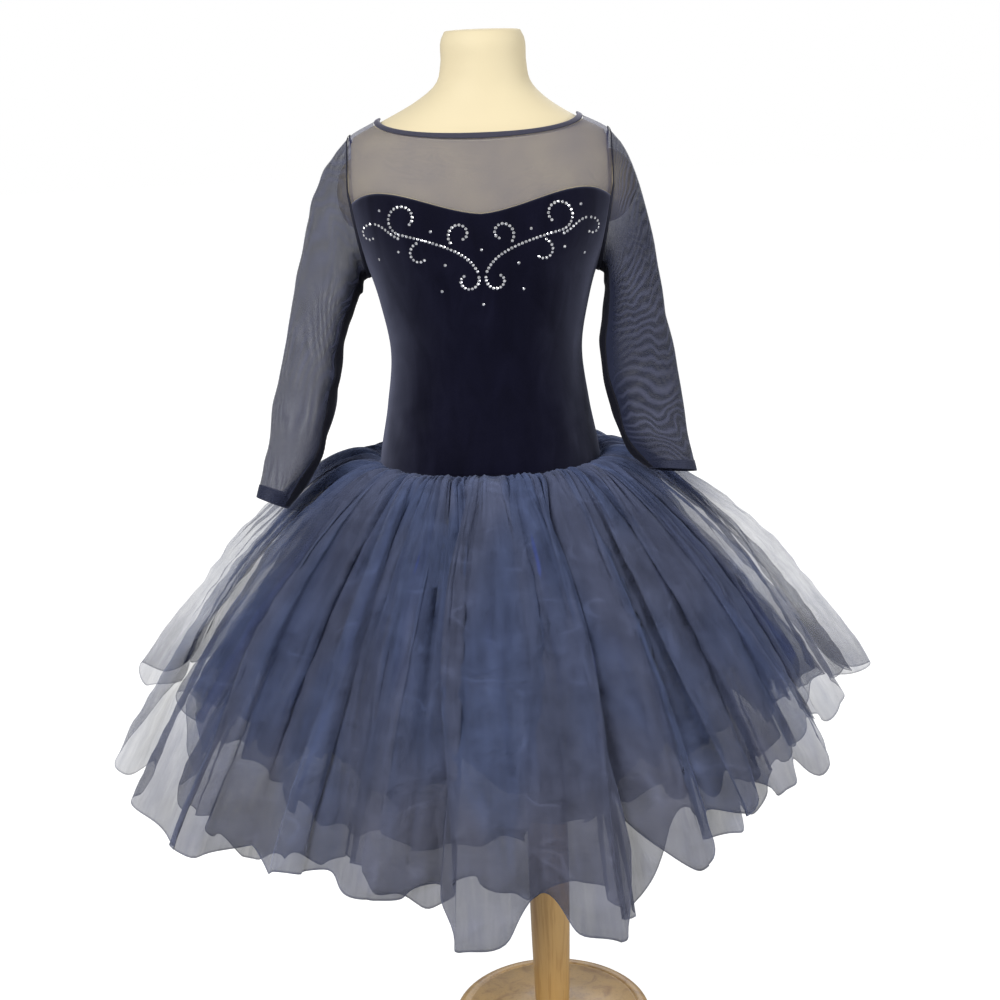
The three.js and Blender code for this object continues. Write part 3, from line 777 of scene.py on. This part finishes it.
def yoke_place(u, v, is_front):
    """A point of the yoke: u from side to side, v from the velvet's top to the neckline and shoulder."""
    share = 2 * u - 1
    middle = np.abs(share)
    end = SWEETHEART["end"] if is_front else BACK_TOP_Z
    edge_end = panel_edge(np.array(end))
    bottom_z = velvet_top(middle, is_front) + EDGE_SEAM_GAP
    bottom_angle = lerp(QUARTER, edge_end, middle)
    past = np.clip((middle - NECK_SHARE) / (1 - NECK_SHARE), 0, 1)
    top_angle = lerp(QUARTER, seam_angle(np.array(NECKLINE_SIDE_Z)), np.minimum(middle / NECK_SHARE, 1))
    neck = neckline_z(top_angle if is_front else -top_angle)
    neck_z = down_surface(top_angle, neck, BINDING["width"] + TURNED_SEAM_GAP)
    top_z = lerp(neck_z, SHOULDER_Z, past)
    pull = np.clip((middle - ARMHOLE_PULL) / (1 - ARMHOLE_PULL), 0, 1) ** 2
    up = 1 - (1 - v) ** YOKE_ROW_SPREAD
    z = lerp(bottom_z, top_z, up)
    edge_z = lerp(end + SEAM_GAP, SHOULDER_Z, up)
    straight = lerp(edge_end, seam_angle(np.array(SHOULDER_Z)), up)
    from_side = lerp(bottom_angle, top_angle, up) + pull * (panel_edge(edge_z) - straight)
    angle = side_angle(np.maximum(from_side, seam_angle(z)), share, is_front)
    return dress(worn_point(angle, z, EASE + MESH)), {"doubled": 0.0}


def binding_place(u, v):
    angle, turn = TURN * u, TURN * v
    down = BINDING["width"] / 2 * (1 + power(np.sin(turn), 0.7))
    out = BINDING["ease"] + BINDING["thickness"] / 2 * (1 + power(np.cos(turn), 0.7))
    return dress(worn_point(angle, down_surface(angle, neckline_z(angle), down), out)), {}


class COSTUME_OT_yoke(bpy.types.Operator):
    """Cut the sheer yoke's front and back and bind the neckline"""

    bl_idname = "costume.yoke"
    bl_label = "Yoke and binding"

    def execute(self, context):
        mesh = sheer_material("Sheer yoke mesh", (0.055, 0.06, 0.135), (0.09, 0.097, 0.215), 0.285, 0.12)
        front_and_back("yoke", "mesh", 120, 56, yoke_place, 0.5, mesh, "mesh", 0.97)
        binding = grid_piece("neck_binding_turned", 200, 14, binding_place, closed=True)
        finish_piece(binding, binding_material("Turned binding", (0.045, 0.045, 0.07)), "binding", "neck_binding")
        return {"FINISHED"}


CUFF_TILT = 0.3
CUFF_HEM_START = 0.958
# The stitched strip down the inner arm: its share of the way round, its share of the length, its stitches.
SERGING_ROUND = (0.405, 0.49)
SERGING_ALONG = (0.04, 0.99)
SERGING_STITCHES = 90
# The watered bands of each sleeve: round it, along it, and how far they stray.
WATERED_BANDS = {"left": (3.0, 34.0, 8.0), "right": (21.0, 9.0, 7.0)}


def armhole_ring(turn, side, inset=0.0):
    """The armhole's seam, just outside the panels' edges: turn 0 is at the shoulder."""
    up = np.cos(turn)
    z = lerp(UNDERARM_Z + ARMHOLE_MARGIN, SHOULDER_Z - ARMHOLE_MARGIN, (1 + up) / 2)
    angle = np.where(np.sin(turn) > 0, 1, -1) * armhole_angle(z)
    seam = worn_point(angle, z, np.full_like(z, EASE))
    seam[:, 0] = worn_point(angle, z, np.full_like(z, EASE + VELVET))[:, 0] + TURNED_SEAM_GAP
    radial = np.stack([0 * up, -np.sin(turn), up], -1)
    seam = seam + radial * (MESH - inset)
    return seam * np.array([side, 1, 1])


def sleeve_ring(row, turn, side, inset=0.0, tilt=0.0):
    outer_x, outer_z, inner_x, inner_z, depth, forward = row
    middle = np.array([(outer_x + inner_x) / 2, forward, (outer_z + inner_z) / 2])
    wide = np.array([(outer_x - inner_x) / 2, 0, (outer_z - inner_z) / 2])
    reach = np.cos(turn) * (1 - inset / np.linalg.norm(wide))
    points = middle + wide * reach[:, None]
    points[:, 1] -= (depth - inset) * np.sin(turn)
    points[:, 2] += tilt * depth * np.sin(turn)
    return points * np.array([side, 1, 1])


def sleeve_surface(turn, along, which, inset=0.0):
    """Points of a sleeve: along runs from 0 at the armhole to 1 at the cuff."""
    side = 1 if which == "left" else -1
    last = len(SLEEVES[which])
    rings = np.array([armhole_ring(turn, side, inset)] + [
        sleeve_ring(row, turn, side, inset, CUFF_TILT * smoothstep(3, last - 1, i))
        for i, row in enumerate(SLEEVES[which])])
    place = np.clip(along * last, 0, last)
    low = np.minimum(place.astype(int), last - 1)
    h = (place - low)[:, None]
    column = np.arange(len(turn))
    before = rings[np.maximum(low - 1, 0), column]
    start, end = rings[low, column], rings[low + 1, column]
    after = rings[np.minimum(low + 2, last), column]
    one, other = (end - before) / 2, (after - start) / 2
    smooth = ((2 * h**3 - 3 * h**2 + 1) * start + (h**3 - 2 * h**2 + h) * one
              + (-2 * h**3 + 3 * h**2) * end + (h**3 - h**2) * other)
    return np.where((low == 0)[:, None], lerp(start, end, h), smooth)


def sleeve_place(u, v, which, inset=0.0):
    turn = TURN * u
    points = sleeve_surface(turn, v, which, inset)
    centre = sleeve_surface(turn + math.pi, v, which, inset)
    crease = Ripple(21 if which == "left" else 22, 1, 5, slant=5.0)
    wave = crease(u, v * 6.0) * 1.6 * smoothstep(0.05, 0.3, v) * smoothstep(1.02, 0.9, v)
    # The attribute below marks the inner side, where the mesh lies doubled and in shade, and the left sleeve below
    # its top, where it is painted shade only; the sheer material darkens the colour by it.
    inner = smoothstep(0.3, 0.95, -np.cos(turn)) * smoothstep(0.02, 0.12, v)
    shade = 0.5 * (which == "left") * smoothstep(0.15, 0.4, v)
    return dress(points + unit(points - centre) * (wave - 1.0)[:, None]), {"doubled": inner + shade}


def armhole_seam_place(u, v, which):
    turn, section = TURN * u, TURN * v
    points = sleeve_surface(turn, 0 * u, which)
    toward = unit(sleeve_surface(turn, 0 * u + 0.08, which) - points)
    radial = unit(points - points.mean(0))
    width = lerp(1.3, 3.2, smoothstep(0, 1, (1 - np.cos(turn)) / 2))
    points = points + toward * (-0.2 + width * np.cos(section))[:, None]
    return dress(points + radial * (0.1 + 0.2 * width * np.sin(section))[:, None]), {}


def serging_place(u, v, which):
    along = lerp(*SERGING_ALONG, v)
    points, _attributes = sleeve_place(lerp(*SERGING_ROUND, u), along, which)
    bulge = 0.6 + 0.5 * np.sin(math.pi * u) * (1 + 0.35 * np.sin(TURN * SERGING_STITCHES * v + TURN * u))
    middle, _attributes = sleeve_place(0 * u, along, which)
    return points + unit(points - middle) * bulge[:, None], {}


def cuff_place(u, v, which):
    return sleeve_place(u, lerp(CUFF_HEM_START, 1.0, v), which, inset=-0.5)[0], {"doubled": 1.0}


class COSTUME_OT_sleeves(bpy.types.Operator):
    """Set in the long sheer sleeves, with their armhole seams and cuff hems"""

    bl_idname = "costume.sleeves"
    bl_label = "Sleeves"

    def execute(self, context):
        seam_stuff = binding_material("Serged seam", (0.006, 0.0065, 0.013), sheen=0.03)
        armhole_stuff = binding_material("Armhole seam", (0.017, 0.018, 0.031), sheen=0.03)
        for which, bands in WATERED_BANDS.items():
            mesh = sheer_material(f"Sheer {which} sleeve mesh", (0.018, 0.022, 0.047), (0.112, 0.121, 0.19), 0.475,
                                  1.0, *bands)
            sleeve = cloth(f"sleeve_{which}_mesh", 96, 130, partial(sleeve_place, which=which), 0.5, mesh, "mesh",
                           f"sleeve_{which}", closed=True)
            seam = grid_piece(f"armhole_seam_{which}", 120, 10, partial(armhole_seam_place, which=which), closed=True)
            finish_piece(seam, armhole_stuff, "mesh")
            cloth(f"sleeve_serging_{which}", 8, 360, partial(serging_place, which=which), 0.8, seam_stuff, "mesh")
            cloth(f"cuff_hem_{which}", 96, 8, partial(cuff_place, which=which), 0.5, mesh, "mesh", closed=True)
        return {"FINISHED"}


def fold_at(degrees):
    """The large fold at an angle: how far it stands out at the hem, how far down it reaches, its width, its phase."""
    table = np.array(FOLDS, float)
    start = table[:, 0] - table[0, 0]
    place = (degrees - table[0, 0]) % 180
    i = np.clip(np.searchsorted(start, place, side="right") - 1, 0, len(table) - 1)
    after = (i + 1) % len(table)
    end = np.where(i + 1 < len(table), start[after], 180)
    share = (place - start[i]) / (end - start[i])
    valley = (1 - np.cos(TURN * share)) / 2
    out = lerp(lerp(table[i, 1], table[after, 1], share), -table[i, 3], valley)
    reach = lerp(lerp(table[i, 2], table[after, 2], share), table[i, 4], valley**NOTCH_SHARPNESS)
    return out, reach, end - start[i], TURN * share


def skirt_mean(angle, run):
    side_half, side_z, end_half, end_z, square = skirt_at(run)
    z = HIP_SEAM_Z - 2 * SEAM_GAP + lerp(side_z, end_z, np.sin(angle) ** 2)
    return oval(angle, side_half, end_half, square, z)


def skirt_normal(angle, run):
    across = skirt_mean(angle + TURN_STEP, run) - skirt_mean(angle - TURN_STEP, run)
    down = skirt_mean(angle, run + RUN_STEP) - skirt_mean(angle, np.maximum(run - RUN_STEP, 0))
    return unit(np.cross(across, down))


def net_place(index, layer, skirt):
    """How a layer of the skirt lies: a place(u, v) with v from the hip seam to the hem."""
    wander = Ripple(60 + index, 4, 19)
    strength = Ripple(70 + index, 5, 27)
    fade = Ripple(80 + index, 7, 29, slant=3.0)
    lean = Ripple(90 + index, 3, 13)
    soft_lean = Ripple(140 + index, 4, 19)
    fine_wander = Ripple(100 + index, 9, 41)
    fine_strength = Ripple(110 + index, 11, 47, slant=4.0)
    gather_wander = Ripple(3, 7, 29)
    crush = Ripple(120 + index, 14, 60, waves=22, slant=42.0)
    soft = Ripple(130 + index, 4, 22, waves=16, slant=9.0)
    dip = Ripple(40 + index, 5, 14)
    cut = Ripple(30 + index, 24, 70, waves=18)

    def place(u, v):
        lobe, _reach, lobe_width, lobe_phase = fold_at(360 * u)
        reach = lerp(0.93, fold_at(360 * u + layer["turn"])[1], layer["notched"])
        hem = reach * layer["length"] * (1 + layer["dip"] * dip(u) + layer["ragged"] * cut(u))
        run = v**1.15 * hem
        inside = np.clip(run, 0, 1)
        rise = lerp(inside**FOLD_GROWTH, np.clip(run / GATHER_RUN, 0, 1), GATHER_SHARE)
        side = np.abs(np.cos(TURN * u)) ** 2.2 * smoothstep(0.03, 0.4, run)
        offset = lobe * rise - lerp(layer["seam"], layer["hem"], inside) - layer["side"] * side

        # Each large fold leans over one of its neighbours, with a crisp edge.
        closed = 1 - (1 - 0.25 * layer["notched"]) * smoothstep(0.45, 0.9, run)
        spread = lobe_width / 360 * smoothstep(0.03, 0.35, run) * closed
        shift = spread * skirt.overlap * np.tanh(4 * lean(u)) * np.cos(lobe_phase)

        # Soft folds between them, strongest half way down.
        phase = TURN * (layer["folds"] * u + 0.8 * wander(u))
        opened = smoothstep(0.0, 0.35, run) * (1 - 0.55 * smoothstep(0.45, 1.0, run))
        size = skirt.fold_depth / MM * np.maximum(0.6 + 0.5 * strength(u) + 0.35 * fade(u, run), 0.1)
        offset = offset + size * opened * np.cos(phase)
        leaning = 0.2 * np.cos(phase) * np.tanh(4 * soft_lean(u))
        shift = shift + opened / layer["folds"] * (leaning + skirt.pinch * np.sin(phase))

        # Narrow folds that die away down the skirt, and gathers on the seam.
        narrow = TURN * (skirt.narrow_folds * u + 0.9 * fine_wander(u))
        fading = smoothstep(0.0, 0.1, run) * smoothstep(0.75, 0.12, run)
        depth = np.maximum(0.55 + 0.6 * fine_strength(u, run), 0) * skirt.narrow_depth / MM * fading
        offset = offset + depth * np.cos(narrow)
        shift = shift + 0.2 / skirt.narrow_folds * fading * np.sin(narrow + 0.8)
        gathering = TURN * (skirt.gathers * u + 0.6 * gather_wander(u))
        pulled = np.exp(-run / 0.09) * smoothstep(0, 0.025, run)
        offset = offset + skirt.gather_depth / MM * pulled * np.cos(gathering)

        offset = offset + smoothstep(0.08, 0.5, run) * (1.6 * crush(u, run) + 1.9 * soft(u, run))
        angle = TURN * (u + shift)
        points = skirt_mean(angle, run) + skirt_normal(angle, run) * offset[:, None]
        points[:, 2] += 2.5 * smoothstep(0.008, 0.0, run)
        # How far down in a fold's valley the net lies: the net material paints its colour darker by it, as painted
        # shade.
        deep = 0.5 - 0.25 * (np.cos(phase) * opened + np.cos(lobe_phase) * rise)
        sheer = side**2 * lerp(0.4, 1.0, layer["notched"])
        return dress(points), {"run": run, "edge": (hem - run) * NET_LENGTH, "deep": deep, "side": sheer}

    return place


class COSTUME_OT_skirt(bpy.types.Operator):
    """Gather the tulle layers onto the hip seam"""

    bl_idname = "costume.skirt"
    bl_label = "Tulle skirt"

    def execute(self, context):
        skirt = context.scene.costume_skirt
        colours = {"tulle_grey": skirt.grey, "tulle_blue": skirt.blue, "tulle_navy": skirt.navy}
        for index, layer in enumerate(LAYERS):
            name = f"skirt_layer_{index + 1}"
            net = tulle_material(f"Net {index + 1}", tuple(colours[layer["slot"]]), skirt.opacity * layer["dense"])
            piece = cloth(f"{name}_tulle", skirt.columns, skirt.rows, net_place(index, layer, skirt), 0.35, net,
                          layer["slot"], name, closed=True, inside=(DRESS_OFFSET * MM, 0, 0.3))
        return {"FINISHED"}


# Scrolls of the rhinestone motif on its left half, in millimetres from its middle and above the underarm:
# stems are (start, pull, pull, end), curls are (middle, first radius, last radius, first angle, sweep).
STEMS = (
    ((4.6, 11.0), (13.0, 28.0), (32.0, 37.0), (79.0, 48.0)),
    ((80.0, 44.5), (89.0, 48.5), (93.0, 56.0), (101.5, 58.0)),
)
CURLS = (
    ((14.2, 2.5), 11.2, 5.6, 165, 245),
    ((20.2, 47.0), 12.3, 5.2, -37, 275),
    ((74.8, 63.0), 15.2, 8.2, -62, 282),
    ((106.6, 48.5), 9.8, 5.0, 112, -230),
    ((58.8, 29.0), 12.2, 6.8, 108, -230),
)
PAIRED_STONES = ((97.0, 71.0), (48.5, 50.5), (80.0, 31.5), (99.5, 23.5), (35.5, 18.0), (39.5, -8.0))
MIDDLE_STONES = ((0.0, 32.0), (0.0, -22.0))
MOTIF_MIDDLE = -1.0


def along_path(points, pitch):
    """Points a pitch apart along a path, ends kept."""
    points = np.array(points)
    steps = np.concatenate([[0], np.cumsum(np.linalg.norm(np.diff(points, axis=0), axis=1))])
    count = max(int(round(steps[-1] / pitch)), 1)
    places = np.linspace(0, steps[-1], count + 1)
    return np.stack([np.interp(places, steps, points[:, axis]) for axis in (0, 1)], -1)


def motif_stones(pitch):
    share = np.linspace(0, 1, 60)[:, None]
    found = []
    weights = ((1 - share) ** 3, 3 * (1 - share) ** 2 * share, 3 * (1 - share) * share**2, share**3)
    for corners in STEMS:
        curve = sum(weight * np.array(corner) for weight, corner in zip(weights, corners))
        found += along_path(curve, pitch).tolist()
    for middle, first, last, angle, sweep in CURLS:
        turn = np.radians(angle + sweep * share[:, 0])
        radius = lerp(first, last, share[:, 0])
        curve = np.stack([middle[0] + radius * np.cos(turn), middle[1] + radius * np.sin(turn)], -1)
        found += along_path(curve, pitch).tolist()
    found += list(PAIRED_STONES)
    kept = []
    for x, z in found:
        if all(math.hypot(x - a, z - b) > 0.7 * pitch for a, b in kept):
            kept.append((x, z))
    both = kept + [(-x, z) for x, z in kept] + list(MIDDLE_STONES)
    return [(x + MOTIF_MIDDLE, z + UNDERARM_Z) for x, z in both]


class COSTUME_OT_stones(bpy.types.Operator):
    """Set the rhinestone scrolls on the velvet"""

    bl_idname = "costume.stones"
    bl_label = "Rhinestones"

    def execute(self, context):
        sizes = context.scene.costume_sizes
        radius = sizes.stone_size / 2
        bm = bmesh.new()
        random = np.random.default_rng(17)
        for x, z in motif_stones(sizes.stone_pitch / MM):
            z = np.array([z])
            angle = front_angle(np.array([x]), z)
            point = Vector(dress(worn_point(angle, z, np.array([EASE + VELVET - 0.1])))[0] * MM)
            normal = Vector(body_normal(angle, z)[0])
            facing = normal.to_track_quat("Z", "Y").to_matrix().to_4x4()
            turn = Matrix.Rotation(random.uniform(0, TURN), 4, "Z")
            tilt = Matrix.Rotation(random.uniform(-0.1, 0.1), 4, "X")
            size = radius * random.uniform(0.92, 1.05)
            ring = bmesh.ops.create_circle(bm, cap_ends=True, segments=8, radius=size,
                                           matrix=Matrix.Translation(point) @ facing @ tilt @ turn)
            raised = bmesh.ops.extrude_face_region(bm, geom=[ring["verts"][0].link_faces[0]])["geom"]
            bmesh.ops.translate(bm, verts=[v for v in raised if isinstance(v, bmesh.types.BMVert)],
                                vec=normal * size * 0.25)
            table = [f for f in raised if isinstance(f, bmesh.types.BMFace)]
            bmesh.ops.inset_region(bm, faces=table, thickness=size * 0.45, depth=0)
            bmesh.ops.translate(bm, verts=list(table[0].verts), vec=normal * size * 0.35)
        bmesh.ops.recalc_face_normals(bm, faces=bm.faces)
        finish_piece(new_piece("rhinestones", bm, smooth=False), stone_material(), None)
        return {"FINISHED"}


def turned_piece(name, profile, steps):
    """A turned piece: its profile, from axis to axis, spun once round the pole."""
    bm = bmesh.new()
    made = [bm.verts.new((radius * MM, 0, z * MM)) for radius, z in profile]
    edges = [bm.edges.new(pair) for pair in zip(made, made[1:])]
    bmesh.ops.spin(bm, geom=made + edges, cent=(0, 0, 0), axis=(0, 0, 1), angle=TURN, steps=steps, use_merge=True)
    bmesh.ops.remove_doubles(bm, verts=bm.verts, dist=MERGE_DISTANCE)
    bmesh.ops.recalc_face_normals(bm, faces=bm.faces)
    return new_piece(name, bm)


class COSTUME_OT_stand(bpy.types.Operator):
    """Turn the wooden base and pole"""

    bl_idname = "costume.stand"
    bl_label = "Stand"

    def execute(self, context):
        wood = wood_material(context.scene.costume_sizes)
        radius, height, edge = (STAND[key] for key in ("base_radius", "base_height", "edge_radius"))
        profile = [(0, 0), (radius - edge / 2, 0), (radius - 1.2, 1.2), (radius, edge / 2), (radius, height - edge)]
        for turn in np.linspace(QUARTER / 8, QUARTER, 8).tolist():
            profile.append((radius - edge * (1 - math.cos(turn)), height - edge * (1 - math.sin(turn))))
        profile += [(radius - 14, height), (radius - 15, height - 0.7), (radius - 16.2, height - 0.7),
                    (radius - 17.2, height), (40, height), (22, height), (0, height)]
        finish_piece(turned_piece("wooden_base", profile, 128), wood, "turned_wood", "stand_base")

        foot, top = height + SEAM_GAP, FORM_RINGS[0][0] - SEAM_GAP
        (_, first), *_, (_, neck) = POLE_PROFILE
        pole_at = smooth_table(POLE_PROFILE)
        pole = [(0, foot), (first - 0.8, foot)]
        pole += [(float(pole_at(np.array(up))[0]), foot + up) for up in np.linspace(1.0, 400, 40)]
        collar, tall = STAND["collar_radius"], STAND["collar_height"]
        pole += [(neck, top - 2 * tall), (neck + 1.5, top - 2 * tall + 3), (collar - 2, top - tall - 1.5),
                 (collar, top - tall + 1), (collar, top - 1), (collar - 1, top), (0, top)]
        finish_piece(turned_piece("wooden_pole", pole, 96), wood, "turned_wood", "stand_pole")
        return {"FINISHED"}


# name, place, diameter in metres, watts
LIGHTS = (("Key", (-1.7, -2.3, 2.4), 1.3, 85), ("Fill", (2.5, -1.6, 1.5), 1.6, 42), ("Rim", (0.5, 2.4, 2.3), 2.0, 22))
DRESS_MIDDLE = Vector((-0.05, 0, 0.65))


class COSTUME_OT_stage(bpy.types.Operator):
    """Set the pale floor, the studio light and the camera"""

    bl_idname = "costume.stage"
    bl_label = "Stage"

    def execute(self, context):
        scene = context.scene
        shader = Shader("Pale floor")
        seen = shader.node("ShaderNodeLightPath", output="Is Camera Ray")
        shader.finish(Base_Color=(0.5, 0.5, 0.5), Roughness=0.9, Specular_IOR_Level=0.0,
                      Emission_Color=shader.mix(seen, (0, 0, 0), (1, 1, 1)), Emission_Strength=0.8)
        bm = bmesh.new()
        bmesh.ops.create_circle(bm, cap_ends=True, segments=96, radius=14.0)
        floor = new_piece("pale_floor", bm, smooth=False)
        floor.data.materials.append(shader.material)

        world = bpy.data.worlds.new("Studio")
        world.use_nodes = True
        nodes, links = world.node_tree.nodes, world.node_tree.links
        strength = nodes.new("ShaderNodeMapRange")
        strength.inputs["To Min"].default_value = 0.42
        strength.inputs["To Max"].default_value = 1.0
        background = nodes["Background"]
        background.inputs["Color"].default_value = (1, 1, 1, 1)
        links.new(nodes.new("ShaderNodeLightPath").outputs["Is Camera Ray"], strength.inputs["Value"])
        links.new(strength.outputs["Result"], background.inputs["Strength"])
        scene.world = world
        for name, place, size, watts in LIGHTS:
            lamp = bpy.data.lights.new(name, "AREA")
            lamp.shape = "DISK"
            lamp.size = size
            lamp.energy = watts
            holder = bpy.data.objects.new(name, lamp)
            holder.location = place
            holder.rotation_euler = (DRESS_MIDDLE - Vector(place)).to_track_quat("-Z", "Y").to_euler()
            scene.collection.objects.link(holder)

        lens = bpy.data.cameras.new("Camera")
        lens.lens = 59.2
        camera = bpy.data.objects.new("Camera", lens)
        tilt = Euler((math.radians(90 - 15.3), 0, 0)).to_matrix() @ Matrix.Rotation(math.radians(-2.0), 3, "Z")
        camera.matrix_world = Matrix.Translation((-0.041, -1.7, 1.107)) @ tilt.to_4x4()
        scene.collection.objects.link(camera)
        scene.camera = camera
        scene.view_settings.view_transform = "Standard"
        scene.cycles.transparent_max_bounces = 28
        scene.cycles.max_bounces = 8
        scene.cycles.diffuse_bounces = 3
        scene.cycles.use_denoising = True
        scene.cycles.denoising_prefilter = "ACCURATE"
        return {"FINISHED"}


class COSTUME_PT_panel(bpy.types.Panel):
    """Lists the costume's pieces"""

    bl_idname = "COSTUME_PT_panel"
    bl_label = "Ballet costume"
    bl_space_type = "VIEW_3D"
    bl_region_type = "UI"
    bl_category = "Costume"

    def draw(self, context):
        for operator in OPERATORS:
            self.layout.operator(operator.bl_idname)
        for group in (context.scene.costume_sizes, context.scene.costume_skirt):
            for key in group.__annotations__:
                self.layout.prop(group, key)


OPERATORS = (
    COSTUME_OT_stage,
    COSTUME_OT_form,
    COSTUME_OT_bodice,
    COSTUME_OT_yoke,
    COSTUME_OT_sleeves,
    COSTUME_OT_skirt,
    COSTUME_OT_stones,
    COSTUME_OT_stand,
)
GROUPS = (CostumeSizes, SkirtSizes)


def register():
    for part in (*GROUPS, *OPERATORS, COSTUME_PT_panel):
        bpy.utils.register_class(part)
    bpy.types.Scene.costume_sizes = bpy.props.PointerProperty(type=CostumeSizes)
    bpy.types.Scene.costume_skirt = bpy.props.PointerProperty(type=SkirtSizes)


def unregister():
    del bpy.types.Scene.costume_skirt
    del bpy.types.Scene.costume_sizes
    for part in reversed((*GROUPS, *OPERATORS, COSTUME_PT_panel)):
        bpy.utils.unregister_class(part)


def main():
    register()
    bpy.ops.costume.stage()
    bpy.ops.costume.form()
    bpy.ops.costume.bodice()
    bpy.ops.costume.yoke()
    bpy.ops.costume.sleeves()
    bpy.ops.costume.skirt()
    bpy.ops.costume.stones()
    bpy.ops.costume.stand()


if __name__ == "__main__":
    main()
